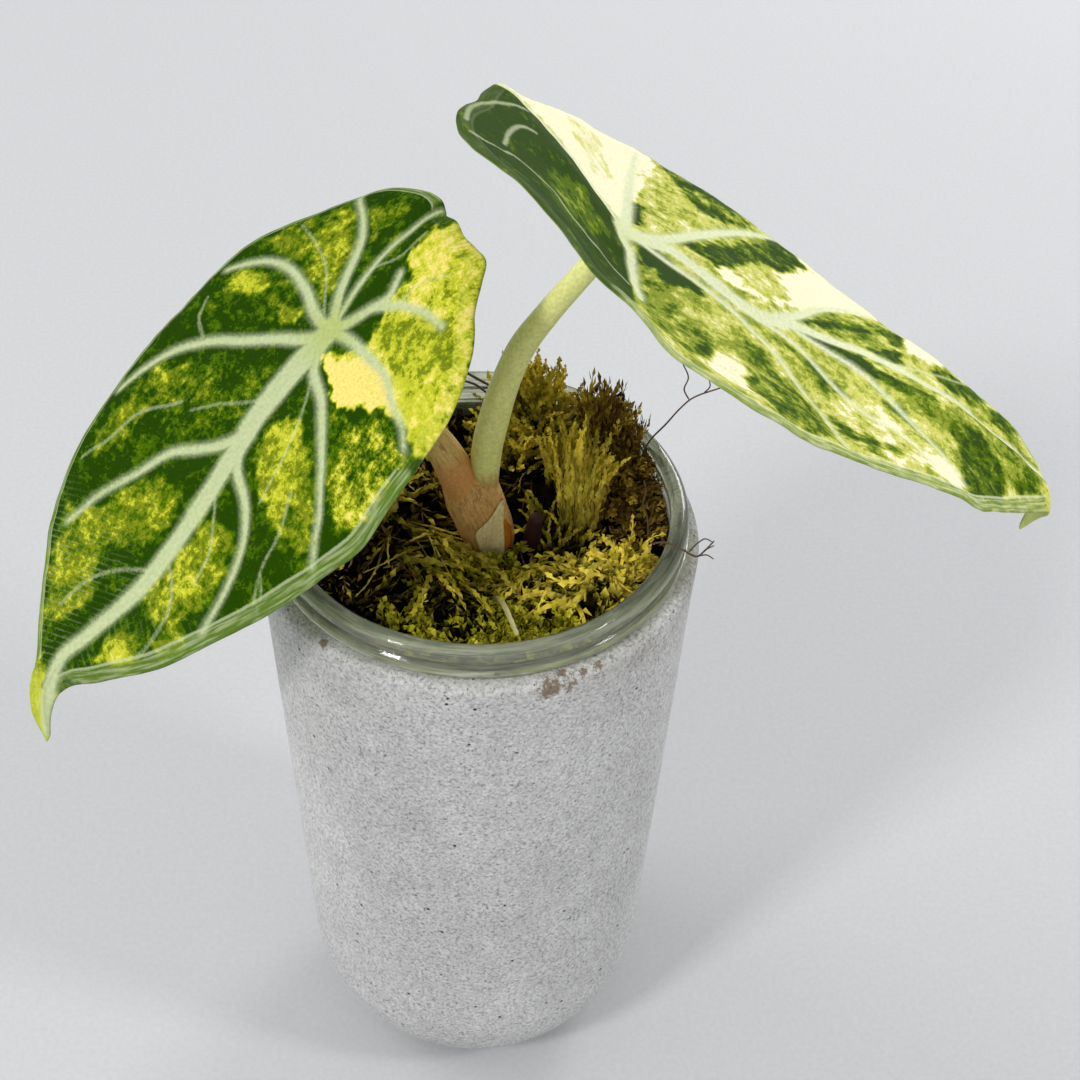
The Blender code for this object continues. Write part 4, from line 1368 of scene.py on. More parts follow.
RIGHT_THREADS = [Vein(*row) for row in rows("""
0.8 0.6: -5 62, -10 74, -16 84, -22 92
0.9 0.7: 18 -33, 10 -32, 3 -29, 1 -26
0.8 0.8: 25 -41, 26 -38, 24 -34, 21 -31, 21 -27, 22 -23, 25 -17, 24 -11, 22 -5, 21 2
0.8 0.7: 20 -42, 11 -41, 6 -39, 3 -37, 0 -35, -5 -31, -8 -28
""")]
RIGHT_PATCHES = [Patch(*row) for row in rows("""
0.42 0.5: 8 3, 5 7, 13 12, 21 14, 23 21, 33 22, 40 18, 44 8, 30 3
0.2 0.4: 33 15, 30 19, 34 22, 39 18
0.88 0.3: 31 21, 29 25, 31 29, 36 29, 44 27, 48 20, 40 17
0.32 0.5: 17 26, 16 31, 18 36, 23 35, 29 29, 25 26
0.32 0.6: 36 27, 23 35, 22 39, 27 44, 33 49, 38 49, 46 42, 49 32, 42 28
0.3 0.4: 7 38, 8 46, 11 53, 15 53, 17 48, 11 42
0.56 0.4: 2 42, 0 51, 2 59, 5 67, 8 65, 8 57, 6 50
0.14 0.4: -3 44, -5 52, -3 57, 0 63, 0 70, 1 77, 5 76, 4 68, 2 59, 1 50
0.72 0.5: 20 52, 11 61, 12 66, 17 74, 20 80, 33 69, 38 60, 40 54, 31 51
0.24 0.4: 9 64, 8 67, 14 72, 16 70, 12 66
0.24 0.4: 27 50, 27 54, 34 54, 33 50
0.24 0.4: 28 57, 30 60, 37 58, 37 55
0.3 0.4: 27 61, 27 65, 33 64, 32 61
0.94 0.25: 23 73, 19 80, 24 82, 32 78, 31 72
0.1 0.3: 1 0, -6 -8, -9 -16, -11 -23, -13 -30, -14 -40, 0 -50, 60 -50, 62 -8, 46 -4, 30 2, 14 3
0.26 0.4: 8 -4, 18 -9, 28 -15, 24 -26, 12 -22, 0 -12
0.97 0.14: -4 0, -8 -9, -10 -16, -12 -23, -14 -31, -14 -38, -22 -36, -60 0, -60 10, -45 11, -26 6
0.8 0.22: -34 -16, -42 -5, -26 -1, -15 -7, -20 -14
0.1 0.3: -19 3, -23 8, -12 7, -6 3
0.62 0.5: -40 7, -53 14, -42 19, -23 18, -14 11, -10 6
0.24 0.66: -57 12, -52 22, -50 33, -43 37, -36 27, -34 20, -43 15
0.06 0.2: 0 3, -1 8, 2 13, 8 21, 10 18, 10 14, 12 11, 8 8, 7 4
0.96 0.2: -12 20, -9 28, -29 42, -50 50, -40 62, -30 68, -22 53, -5 36, -2 24
0.66 0.4: -12 28, -21 34, -25 41, -15 43, -6 36, -5 29
0.18 0.56: -11 16, -18 22, -29 30, -46 42, -45 47, -40 51, -27 42, -26 35, -13 28, -7 23
0.4 0.5: -6 43, -21 54, -21 60, -24 71, -17 66, -9 56, -8 49
0.12 0.4: -8 46, -14 50, -17 56, -19 65, -15 60, -11 52
0.66 0.4: -14 69, -13 80, -4 80, -3 73, -7 67
0.92 0.3: -22 71, -30 72, -28 84, -18 82, -15 71
0.18 0.4: -9 62, -13 68, -8 69, -7 64
0.18 0.4: -20 67, -23 71, -17 71, -16 67
0.34 0.4: 0 70, 2 78, 0 86, 4 88, 7 80, 6 72
0.22 0.5: 8 81, 1 87, 3 91, 9 95, 17 96, 28 85, 22 80, 12 82
0.42 0.5: -1 90, -8 98, -10 107, 1 109, 8 107, 12 98, 5 92
0.2 0.4: 3 98, 1 103, 5 104
0.2 0.4: 9 98, 6 105, 11 104
0.22 0.5: -12 77, -18 82, -20 88, -19 94, -16 94, -10 88, -11 81
0.2 0.5: -16 95, -19 100, -16 105, -9 99, -11 95
0.72 0.1: -8 109, 8 109, 10 126, -10 126
""")]
RIGHT_CALM = [Patch(*row) for row in rows("""
0.14 0: 60 -6, 30 -8, -4 -30, -16 -40, 0 -60, 60 -60
0.1 0: -14 -38, -8 -34, -40 -2, -70 16, -60 -20
0.45 0: -70 16, -30 16, -16 70, -10 106, -40 112
0.05 0: -9 108, 9 108, 12 130, -12 130
""")]


def left_leaf() -> Leaf:
    """The blade on the left, which droops towards the camera."""
    return Leaf(
        name="blade_left",
        node="leaf_left",
        hub=(-30.8, -4.4, 224.6),
        heading=218.6,
        droop=39.4,
        roll=9.6,
        outline=LEFT_OUTLINE,
        midrib=points("-36 0, -20 2, 0 0, 30 1.4, 59 -0.3, 70 1.2, 81 4.6, 90 6.6, 98.7 5.4, 105 -0.2"),
        spine=points("-40 -4.1, -20 -1, 0 0, 30 -0.5, 60 -1.6, 90 -3.1, 106 -3.9"),
        rise=(0.0, 0.0),
        cup=(0.0005, 0.0005),
        rear_rise=(0.0, -0.007),
        twist=0.00295,
        edge_drop=1.3,
        tip_bend=(90.0, 400.0, 10.0),
        veins=LEFT_VEINS,
        threads=LEFT_THREADS,
        ground=Patch(0.12, 0.42, ()),
        patches=LEFT_PATCHES,
        calm=LEFT_CALM,
        finish=LeafFinish("leaf_dark_variegated"),
        band_side=-1.0,
    )


def right_leaf() -> Leaf:
    """The blade on the right, lighter, seen from behind its rear lobes."""
    return Leaf(
        name="blade_right",
        node="leaf_right",
        hub=(28.3, 1.1, 246.6),
        heading=-9.2,
        droop=32.0,
        roll=-10.9,
        outline=RIGHT_OUTLINE,
        midrib=points(
            "-35 -13, -20 -10, -9 -7, 0 0, 20 0, 40 -1, 60 -6, 80 -5.5, 100 -5.5, 108 -2, 119.8 0.6"
        ),
        spine=points("-42 8.9, -20 5.8, 0 0, 25 1.7, 50 2.2, 75 5.5, 104 3.5"),
        rise=(-0.174, -0.103),
        cup=(0.00533, 0.00074),
        rear_rise=(0.089, -0.026),
        twist=-0.00031,
        edge_drop=0.8,
        tip_bend=(108.0, 3.2, 84.0),
        veins=RIGHT_VEINS,
        threads=RIGHT_THREADS,
        ground=Patch(0.58, 0.48, ()),
        patches=RIGHT_PATCHES,
        calm=RIGHT_CALM,
        comb_from=150.0,
        hub_size=1.2,
        finish=LeafFinish(
            "leaf_pale_variegated",
            dark=screen(50, 74, 20),
            green=screen(82, 108, 14),
            olive=screen(142, 156, 50),
            lime=screen(192, 196, 84),
            yellow=screen(216, 214, 118),
            cream=screen(253, 247, 208),
            vein=screen(226, 231, 190),
            hub=screen(222, 229, 178),
            margin=screen(124, 146, 72),
            underside=screen(158, 174, 108),
            fleck_share=2.2,
            block_share=2.2,
            blocks=Grain(5.0, 3.0, 0.6),
        ),
        band_side=1.0,
    )


@dataclass(frozen=True)
class Slope:
    """How strands of one kind rise from the bed.

    It holds the slope at the foot and how far that varies, in radians, the share of it that is lost by the
    tip, the depth of the foot, the share of the bed's relief that is followed and that of the climb kept.
    """

    start: float
    vary: float
    level_off: float
    sink: float
    follow: float
    climb: float = 1.0


class Lie(Enum):
    """How a strand of moss lies."""

    STANDING = Slope(1.3, 0.22, 0.3, 2.0, 0.3, 0.9)
    LEANING = Slope(0.9, 0.35, 0.7, 1.8, 0.3)
    LYING = Slope(0.30, 0.34, 1.3, 1.0, 0.85)


STANDING, LEANING, LYING = Lie


@dataclass(frozen=True)
class Laying:
    """How one strand lies: its foot, length, girth, heading, own turn, curl, lift, tint and shade."""

    x: float
    y: float
    length: float
    girth: float
    heading: float
    turn: float
    curl: float
    lift: float
    tint: float
    shade: float


@dataclass(frozen=True)
class Clump:
    """A clump of moss strands: its middle and reach, its number of strands, their colour and how they lie."""

    centre: Flat
    reach: Flat
    count: int
    tint: Flat
    length: Flat
    lie: Lie
    heading: float
    spread: float = 50.0
    rise: float = 0.0
    girth: float = 1.0
    curl: float = 0.7
    thickness: Flat = (7.0, 11.5)
    shade: Flat = (0.44, 1.2)

    def drawn(self, draw: np.random.Generator) -> Iterator[Laying]:
        """Draws how each strand lies, in a fixed order."""
        for _ in range(self.count):
            angle = draw.uniform(0.0, 2.0 * math.pi)
            away = math.sqrt(draw.uniform(0.0, 1.0))
            yield Laying(
                self.centre[0] + self.reach[0] * away * math.cos(angle),
                self.centre[1] + self.reach[1] * away * math.sin(angle),
                draw.uniform(*self.length),
                draw.uniform(*self.thickness) * self.girth,
                math.radians(self.heading + draw.normal(0.0, self.spread)),
                draw.uniform(0.0, 2.0 * math.pi),
                draw.normal(0.0, self.curl),
                draw.uniform(-1.0, 1.0),
                draw.uniform(*self.tint),
                draw.uniform(*self.shade),
            )


@dataclass(frozen=True)
class Strand:
    """One straight strand of unit length: a tapering axis with leaflets wound about it.

    It holds the number of leaflets, their length and half width in shares of the strand's, the angle of the
    lowest one in degrees, the radius of the foot, how far the axis is flattened and its number of cuts.
    """

    leaflets: int
    length: float
    width: float
    spread: float
    foot: float = 0.034
    flat: float = 1.0
    cuts: int = 3
    winding: float = 137.5
    first: float = 0.06
    run: float = 0.86

    def axis(self) -> Piece:
        """Models the axis."""
        deselect()
        bpy.ops.mesh.primitive_cone_add(vertices=3, radius1=self.foot, radius2=self.foot * 0.3, depth=1.0,
                                        location=(0.0, 0.0, 0.5), end_fill_type="NGON",
                                        scale=(1.0, self.flat, 1.0))
        axis = bpy.context.object
        bpy.ops.object.mode_set(mode="EDIT")
        for cut in range(self.cuts):
            bpy.ops.mesh.select_all(action="SELECT")
            level = (cut + 1) / (self.cuts + 1)
            bpy.ops.mesh.bisect(plane_co=(0.0, 0.0, level), plane_no=(0.0, 0.0, 1.0))
        bpy.ops.object.mode_set(mode="OBJECT")
        bpy.ops.object.transform_apply(location=True, rotation=False, scale=True)
        return axis

    def leaflet(self, number: int) -> Piece:
        """Models one leaflet, a thin three-sided cone that stands off the axis."""
        share = self.first + self.run * number / (self.leaflets - 1)
        size = self.length * (1.15 - 0.45 * share)
        wide = self.width * (1.15 - 0.45 * share)
        bpy.ops.mesh.primitive_cone_add(vertices=3, radius1=1.0, depth=1.0)
        leaflet = bpy.context.object
        stand = Matrix.Rotation(math.radians(self.winding * number), 4, "Z")
        stand = stand @ Matrix.Rotation(math.radians(self.spread * (1.0 - 0.6 * share)), 4, "Y")
        corners = (
            (0.0, 0.0, 0.0),
            (0.3 * wide, wide, 0.42 * size),
            (0.3 * wide, -wide, 0.42 * size),
            (-0.1 * wide, 0.0, size),
        )
        for vertex, corner in zip(leaflet.data.vertices, corners):
            vertex.co = Vector((0.0, 0.0, share)) + stand @ Vector(corner)
        return leaflet

    def model(self) -> Pattern:
        """Models the strand and takes it away again, and returns its vertices and faces."""
        axis = self.axis()
        leaflets = [self.leaflet(number) for number in range(self.leaflets)]
        pick(axis)
        for leaflet in leaflets:
            leaflet.select_set(True)
        bpy.ops.object.join()
        open_edit()
        close_edit()
        vertices = np.array([v.co[:] for v in axis.data.vertices])
        faces = [tuple(p.vertices) for p in axis.data.polygons]
        bpy.data.objects.remove(axis, do_unlink=True)
        return vertices, faces


@dataclass(frozen=True)
class Kind:
    """One kind of moss: its piece's name, its strand and its clumps."""

    name: str
    strand: Strand
    clumps: tuple[Clump, ...]


MOSSES = (
    Kind("moss_ochre", Strand(9, 0.22, 0.08, 50.0, 0.1, 0.35, 6), (
        Clump((27, -21), (12, 9), 104, (0.36, 0.56), (7, 13), LYING, 60, 90, 1.6, 1.3, 1.6),
        Clump((33, -16), (6, 8), 50, (0.38, 0.52), (7, 11), LEANING, -60, 80, 0.8, 1.1, 1.6),
        Clump((14, -20), (6, 6), 44, (0.4, 0.62), (6, 11), LYING, 120, 80, 0.6, 1, 1.6),
        Clump((-6, -22), (14, 7), 46, (0.5, 0.8), (6, 11), LYING, -50, 60, 0.4, 0.9, 1.4),
    )),
    Kind("moss_olive", Strand(14, 0.17, 0.055, 26.0), (
        Clump((22.6, -1.2), (4.6, 3.2), 56, (0.38, 0.54), (13, 18), LEANING, 88, 10, 2.4, 1.3, 0.2),
        Clump((22, 8), (6, 4), 50, (0.44, 0.6), (10, 15), STANDING, 90, 30, 1, 1.2, 0.3),
        Clump((17, -4), (4.5, 5), 36, (0.48, 0.72), (8, 12), LEANING, 70, 40, 0.4, 1.1),
        Clump((11, 25), (9, 7), 104, (0.44, 0.66), (8, 12), LEANING, 90, 90, 1.4, 1.3),
        Clump((14, 34), (9, 4.5), 60, (0.44, 0.64), (9, 14), STANDING, 90, 50, 1.6, 1.4),
        Clump((-13, -8), (7, 7), 20, (0.44, 0.7), (14, 24), LYING, -48, 24, 2, 1.7, 0.7),
        Clump((-26, 2), (7, 8), 16, (0.38, 0.62), (12, 20), LYING, -35, 60, 1, 1.5, 0.7),
    )),
    Kind("moss_brown", Strand(11, 0.3, 0.072, 56.0), (
        Clump((34, 13), (6, 10), 200, (0.08, 0.34), (7, 12), LEANING, 60, 120, 2),
        Clump((31, 24), (7, 6), 150, (0.1, 0.36), (9, 15), STANDING, 60, 60, 3),
        Clump((38, 4), (3.5, 9), 90, (0.08, 0.34), (6, 10), LEANING, 120, 120),
        Clump((22, -8), (8, 4), 30, (0.08, 0.4), (6, 10), LYING, 90, 90),
        Clump((-5, 20), (18, 16), 110, (0.02, 0.4), (8, 14), LYING, 60, 120),
        Clump((-24, 10), (14, 20), 110, (0.02, 0.46), (8, 14), LYING, 60, 120),
        Clump((-20, -18), (16, 12), 54, (0.02, 0.5), (7, 12), LYING, -40, 120),
        Clump((4, -24), (14, 9), 56, (0.1, 0.6), (6, 10), LYING, -40, 120),
    )),
    Kind("moss_green", Strand(11, 0.27, 0.1, 46.0), (
        Clump((-15, -35), (9, 4), 50, (0.78, 1), (5, 8.5), LEANING, -90, 120, 0.5, 1.1),
        Clump((13, -34), (11, 4.5), 90, (0.74, 1), (5, 8.5), LEANING, -60, 120, 0.5, 1.1),
        Clump((-3, -35), (9, 3.5), 34, (0.7, 1), (4.5, 7.5), LEANING, -90, 120, 0, 1),
        Clump((3, -14), (8, 4), 50, (0.64, 0.96), (5, 9), LEANING, -80, 90),
        Clump((-2, -24), (15, 8), 44, (0.48, 0.98), (6, 10), LYING, -30, 90),
        Clump((-27, -20), (11, 11), 12, (0.6, 0.98), (6, 10), LYING, -40, 120),
    )),
    Kind("moss_fibres", Strand(8, 0.1, 0.03, 26.0), (
        Clump((-16, -6), (8, 8), 26, (0.26, 0.56), (12, 22), LYING, -48, 30, 0.6, 1.3, 0.3),
        Clump((-10, 2), (8, 6), 20, (0.24, 0.56), (10, 18), LYING, 20, 80, 0, 1.2),
        Clump((0, 0), (38, 38), 70, (0.06, 0.5), (9, 16), LYING, 0, 180, 0, 1, 1),
    )),
)


@dataclass
class MossBed:
    """The moss that fills the cup: a bed painted nearly black as shade, and clumps of feathery strands on it.
    """

    cup: Cup
    level: float = 163.5
    swell: Ripple = Ripple(11.0, 0.37, 2.4)
    lumps: Ripple = Ripple(4.5, 5.2, 0.9)
    hummocks: tuple[Station, ...] = (
        (27, -23, 6.5, 10),
        (19, 9, 8, 9),
        (30, 22, 6.5, 8),
        (11, 34, 9.5, 9),
        (-8, -30, 3.5, 11),
        (-26, 4, 5, 13),
    )
    edge_drop: float = 2.0
    shoulder_z: float = 150.0
    rim_ring: float = 42.6
    clearance: float = 0.3
    bed_sectors: int = 150
    bed_rings: int = 64
    bed_sink: float = 1.0
    bed_rough: tuple[Ripple, Ripple] = (Ripple(2.1, 7.7, 0.9), Ripple(1.1, 2.2, 0.5))
    bed_tint: Ripple = Ripple(9.0, 3.1, 0.16)
    map_step: float = 0.6
    rooted_within: float = 41.0
    stem_place: Flat = (2.0, -5.0)
    stem_reach: Flat = (6.4, 6.2)
    wall_gap: float = 0.6
    finish: MossFinish = field(default_factory=MossFinish)

    def __post_init__(self) -> None:
        """Draws the height map that the strands are laid on."""
        count = int(2.0 * self.rim_ring / self.map_step) + 3
        self.map_start = -self.map_step * (count - 1) / 2.0
        ticks = self.map_start + self.map_step * np.arange(count)
        grid = np.array([(x, y) for x in ticks for y in ticks])
        self.map = self.heights(grid).reshape(count, count)

    def heights(self, places: Array) -> Array:
        """Height of the moss over places inside the cup."""
        height = self.level + self.swell.over(places) + self.lumps.over(places)
        for x, y, rise, spread in self.hummocks:
            away = (places[:, 0] - x) ** 2 + (places[:, 1] - y) ** 2
            height += rise * np.exp(-away / spread ** 2)
        return height

    def mapped(self, x: Array, y: Array) -> Array:
        """Height of the moss read from the map."""
        last = self.map.shape[0] - 2
        column = np.clip((x - self.map_start) / self.map_step, 0.0, last + 0.999)
        row = np.clip((y - self.map_start) / self.map_step, 0.0, last + 0.999)
        i = column.astype(int)
        j = row.astype(int)
        s = column - i
        t = row - j
        near = self.map[i, j] * (1.0 - t) + self.map[i, j + 1] * t
        far = self.map[i + 1, j] * (1.0 - t) + self.map[i + 1, j + 1] * t
        return near * (1.0 - s) + far * s

    def build_bed(self, material: Skin) -> Piece:
        """Builds and dresses the solid bed."""
        floor = self.cup.seat_z - self.cup.depth + self.cup.wall + self.clearance
        skirt = [(self.cup.inner_radius(z) - self.clearance, z)
                 for z in (self.shoulder_z, floor + self.cup.foot_round)]
        skirt += [(skirt[-1][0] - self.cup.foot_round + self.cup.wall, floor), (0.0, floor)]

        def carry(sector: Array, ring: Array) -> tuple[Array, Kept]:
            """Places and kept values of the vertices."""
            angle = 2.0 * math.pi * sector / self.bed_sectors
            on_top = ring <= self.bed_rings
            radius = self.rim_ring * np.minimum(ring / self.bed_rings, 1.0)
            below = np.clip(ring - self.bed_rings - 1, 0, len(skirt) - 1)
            radius = np.where(on_top, radius, np.array([r for r, _ in skirt])[below])
            flat = np.column_stack((radius * np.cos(angle), radius * np.sin(angle)))
            rough = sum(ripple.over(flat) for ripple in self.bed_rough)
            height = self.heights(flat) - self.bed_sink + rough * (radius < self.rim_ring - 1.0)
            height -= np.where(ring == self.bed_rings, self.edge_drop, 0.0)
            z = np.where(on_top, height, np.array([z for _, z in skirt])[below])
            kept = {
                "tint": 0.14 + self.bed_tint.over(flat),
                # Painted shade: the bed's tip values stay low, so it is coloured nearly black as the shade
                # under the strands; the skirt inside the cup takes about half of it.
                "tip": np.where(on_top, 0.05 + 0.12 * rough, 0.45),
                "shade": np.ones(len(flat)),
            }
            return np.column_stack((flat, z)), kept

        piece = closed_skin("moss_bed", self.bed_sectors, self.bed_rings + len(skirt), carry)
        return dress(piece, material, "moss", "moss")

    def has_room(self, laying: Laying) -> bool:
        """Whether a strand stands inside the cup and clear of the stem."""
        off_x, off_y = (
            (place - middle) / reach
            for place, middle, reach in zip((laying.x, laying.y), self.stem_place, self.stem_reach)
        )
        return math.hypot(laying.x, laying.y) <= self.rooted_within and off_x ** 2 + off_y ** 2 >= 1.0

    def build_strands(self, kind: Kind, material: Skin, seed: int) -> Piece:
        """Lays copies of one strand in clumps, as one piece.

        Args:
            kind: The strand and where its copies lie.
            material: Their material.
            seed: Seed of the random draws.

        Returns:
            The dressed piece.
        """
        draw = np.random.default_rng(seed)
        vertices, faces = kind.strand.model()
        # Painted shade: each strand is painted darker towards its foot.
        outward = 0.2 + 0.8 * np.clip(vertices[:, 2] * 1.7, 0.0, 1.0)
        blocks = []
        kept = {"tint": [], "shade": [], "tip": []}
        for clump in kind.clumps:
            for laying in filter(self.has_room, clump.drawn(draw)):
                block = self.laid(vertices, laying, clump)
                clear = block[:, 2] - self.mapped(block[:, 0], block[:, 1])
                blocks.append(block)
                kept["tint"].append(np.full(len(vertices), laying.tint))
                kept["shade"].append(np.full(len(vertices), laying.shade))
                # Painted shade: the closer a vertex lies to the bed, the darker it is painted.
                kept["tip"].append(np.clip(0.04 + clear / 3.0, 0.0, 1.0) * outward)
        starts = range(0, len(blocks) * len(vertices), len(vertices))
        all_faces = [tuple(v + start for v in face) for start in starts for face in faces]
        mesh = bpy.data.meshes.new(kind.name)
        mesh.from_pydata((np.vstack(blocks) * MM).tolist(), [], all_faces)
        mesh.update()
        piece = bpy.data.objects.new(kind.name, mesh)
        bpy.context.scene.collection.objects.link(piece)
        paint(piece, {name: np.concatenate(values) for name, values in kept.items()})
        return dress(piece, material, "moss")

    def laid(self, vertices: Array, laying: Laying, clump: Clump) -> Array:
        """One copy of the strand, curled and laid on the bed.

        Args:
            vertices: The straight strand of unit length.
            laying: How this copy lies.
            clump: The clump that it belongs to.

        Returns:
            The places of the vertices.
        """
        way = clump.lie.value
        t = vertices[:, 2]
        round_x = vertices[:, 0] * math.cos(laying.turn) - vertices[:, 1] * math.sin(laying.turn)
        round_y = vertices[:, 0] * math.sin(laying.turn) + vertices[:, 1] * math.cos(laying.turn)
        slope = way.start + way.vary * laying.lift
        pitch = slope * (1.0 - way.level_off * t)
        climb = laying.length * (slope * t - 0.5 * slope * way.level_off * t ** 2)
        climb = climb * way.climb + laying.girth * round_y * np.cos(pitch)
        run = laying.length * t * math.cos(slope * (1.0 - 0.5 * way.level_off))
        run -= laying.girth * round_y * np.sin(pitch)
        veer = laying.curl * t
        ahead = run * np.cos(veer * 0.5) - laying.girth * round_x * np.sin(veer)
        across = run * np.sin(veer * 0.5) + laying.girth * round_x * np.cos(veer)
        x = laying.x + ahead * math.cos(laying.heading) - across * math.sin(laying.heading)
        y = laying.y + ahead * math.sin(laying.heading) + across * math.cos(laying.heading)
        limit = self.cup.inner_radius(self.cup.seat_z) - self.wall_gap
        pull = np.minimum(1.0, limit / np.maximum(np.hypot(x, y), TINY))
        ground = self.mapped(x * pull, y * pull)
        base = self.mapped(np.array([laying.x]), np.array([laying.y]))[0]
        z = base + (ground - base) * way.follow + climb - way.sink + clump.rise
        return np.column_stack((x * pull, y * pull, z))

    def build(self) -> None:
        """Builds the bed and all strands."""
        material = self.finish.material()
        self.build_bed(material)
        for number, kind in enumerate(MOSSES):
            self.build_strands(kind, material, SEED + number)


@dataclass
class Stalks:
    """The short stem with its sheaths, the petioles, and the roots and dry bits in the moss."""

    blade_thickness: float = 0.8
    petiole_to_blade: float = 0.65
    petiole_tip: float = 2.35
    stem_flatten: float = 0.74
    pale_flap: tuple[Flat, ...] = (
        (5, 178.8), (5.5, 172), (5.8, 166), (5.4, 161.5), (1, 161.5), (0, 167), (-0.8, 171.4),
        (2.2, 175.6),
    )
    rust_flap: tuple[Flat, ...] = (
        (5.2, 177), (6.5, 174), (7.3, 169.5), (6.8, 165), (5.7, 164.5), (5.5, 170.5),
    )
    left_route: tuple[Station, ...] = (
        (-1.2, -4, 173, 3.2), (-2.6, -4, 178, 3.9), (-4.8, -4, 184.5, 4.1), (-8, -4, 192.3, 3.6),
        (-12.2, -3.9, 198.9, 3.1), (-17.6, -3.6, 206.3, 2.8), (-24.2, -3.4, 215, 2.5),
    )
    right_route: tuple[Station, ...] = (
        (2.4, -3.6, 173, 1.6), (2.1, -3.5, 178, 2.1), (1.3, -3.3, 186, 3.2), (1.7, -3, 192, 3.35),
        (3.1, -2.5, 199.7, 3.3), (5.5, -2, 209.5, 3.1), (8.7, -1.5, 218.3, 2.9), (14.1, -1, 227.2, 2.65),
        (21.6, 0.1, 237.3, 2.45),
    )
    stem_route: tuple[Station, ...] = (
        (3.5, -3.8, 147, 3.8), (3.5, -3.8, 160, 4.1), (2.3, -3.8, 166.5, 5.8), (0.2, -3.8, 173.5, 6.4),
        (-1.8, -3.8, 180, 6.2), (-2.6, -3.8, 185.5, 4.6),
    )
    stub_route: tuple[Station, ...] = (
        (11.4, -3.2, 150, 2.1), (11.9, -3.2, 164, 2.1), (12.9, -3.4, 172.5, 1.6),
    )
    twig_route: tuple[Station, ...] = (
        (18.6, 27.6, 160, 0.9), (20.2, 28.2, 171, 0.9), (23.8, 29.2, 177, 0.8), (28, 30, 183.5, 0.5),
    )
    stalk_route: tuple[Station, ...] = (
        (3.4, -21, 163.5, 0.9), (5, -27, 168.6, 1), (8.3, -39.4, 171, 0.8),
    )
    rim_root_route: tuple[Station, ...] = (
        (34.4, -11.6, 159, 0.45), (35.2, -12.6, 167, 0.45), (37.4, -14, 173.2, 0.45),
        (40.6, -15.2, 175.3, 0.45), (44, -16.8, 174.9, 0.45), (47.6, -17.4, 173.2, 0.45),
        (49.4, -15.2, 172.6, 0.4), (51.8, -13.4, 174.3, 0.35),
    )
    rising_root_route: tuple[Station, ...] = (
        (36.4, 17.4, 158, 0.5), (36.9, 17.7, 168, 0.5), (39, 18, 175.6, 0.5), (42.5, 18, 180.9, 0.5),
        (45.5, 18, 185.7, 0.45), (47.3, 18, 188, 0.45), (54.6, 18.2, 191.8, 0.4),
    )
    branch_route: tuple[Station, ...] = (
        (47.3, 18, 188, 0.42), (45.9, 18, 191.2, 0.42), (46.6, 18, 194.4, 0.4), (45, 18.2, 198.6, 0.35),
    )
    fine_roots: tuple[tuple[Station, ...], ...] = (
        ((36.3, -2.3, 182, 0.3), (36.9, -2.7, 179, 0.3), (36.4, -3.7, 176, 0.3), (37.4, -4.3, 173, 0.3),
         (37.8, -6, 169, 0.28), (37.5, -6.1, 165, 0.28)),
        ((45.8, -17.2, 174.2, 0.3), (47.9, -14.8, 174.8, 0.28), (49.6, -14.1, 175.4, 0.26),
         (51.2, -15, 175.2, 0.24)),
        ((47.8, -17.4, 173.3, 0.3), (49.8, -16.9, 173.2, 0.26), (51.4, -18.3, 173.2, 0.24)),
        ((49.2, -15.4, 172.9, 0.26), (50.4, -15.5, 174, 0.24), (51.6, -15.7, 175, 0.22)),
        ((50.4, 18.1, 190, 0.28), (51.6, 17.6, 192.4, 0.26), (51.2, 17.4, 194.6, 0.22)),
        ((-4.8, 45, 174.6, 0.5), (-1, 42.6, 173.8, 0.6), (4, 40.6, 172, 0.5)),
        ((-5.6, 42.8, 173.2, 0.4), (-1.2, 41.6, 172.6, 0.5), (3, 39.4, 170.4, 0.4)),
    )
    tan: StalkFinish = StalkFinish(
        "petiole_tan", screen(220, 166, 96), screen(206, 198, 118), screen(130, 82, 44), screen(212, 152, 86),
        foot_share=0.3, roughness=0.55, streaks=Grain(0.6, 3.0, 0.65), streak_share=0.65, relief=0.3,
    )
    green: StalkFinish = StalkFinish(
        "petiole_green", screen(222, 220, 132), screen(238, 238, 154), screen(214, 218, 146),
        screen(196, 162, 94),
        foot_share=0.145, roughness=0.45, streaks=Grain(0.8, 3.0, 0.65), streak_share=0.4, relief=0.05,
    )
    bark: StalkFinish = StalkFinish(
        "stem_bark", screen(208, 148, 84), screen(230, 182, 110), screen(132, 82, 46),
        roughness=0.62, streaks=Grain(0.5, 3.0, 0.65), streak_share=0.65, relief=0.6,
    )
    pale: StalkFinish = StalkFinish(
        "sheath_pale", screen(220, 202, 146), screen(234, 216, 164), screen(190, 162, 108),
        streaks=Grain(0.7, 3.0, 0.65), streak_share=0.6, relief=0.15,
    )
    rust: StalkFinish = StalkFinish(
        "sheath_rust", screen(196, 116, 20), screen(164, 86, 10), screen(218, 150, 50),
        streaks=Grain(0.7, 3.0, 0.65), streak_share=0.6, relief=0.15,
    )
    purple: StalkFinish = StalkFinish("old_stub", screen(40, 16, 16), screen(60, 26, 26), screen(26, 10, 12))
    wood: StalkFinish = StalkFinish(
        "dead_wood", screen(96, 80, 48), screen(120, 104, 60), screen(70, 54, 32), roughness=0.8
    )
    straw: StalkFinish = StalkFinish(
        "dry_stalk", screen(150, 140, 84), screen(196, 188, 130), screen(206, 200, 150), roughness=0.7
    )
    root: StalkFinish = StalkFinish(
        "root", screen(84, 66, 52), screen(100, 78, 60), screen(60, 44, 34), roughness=0.75
    )

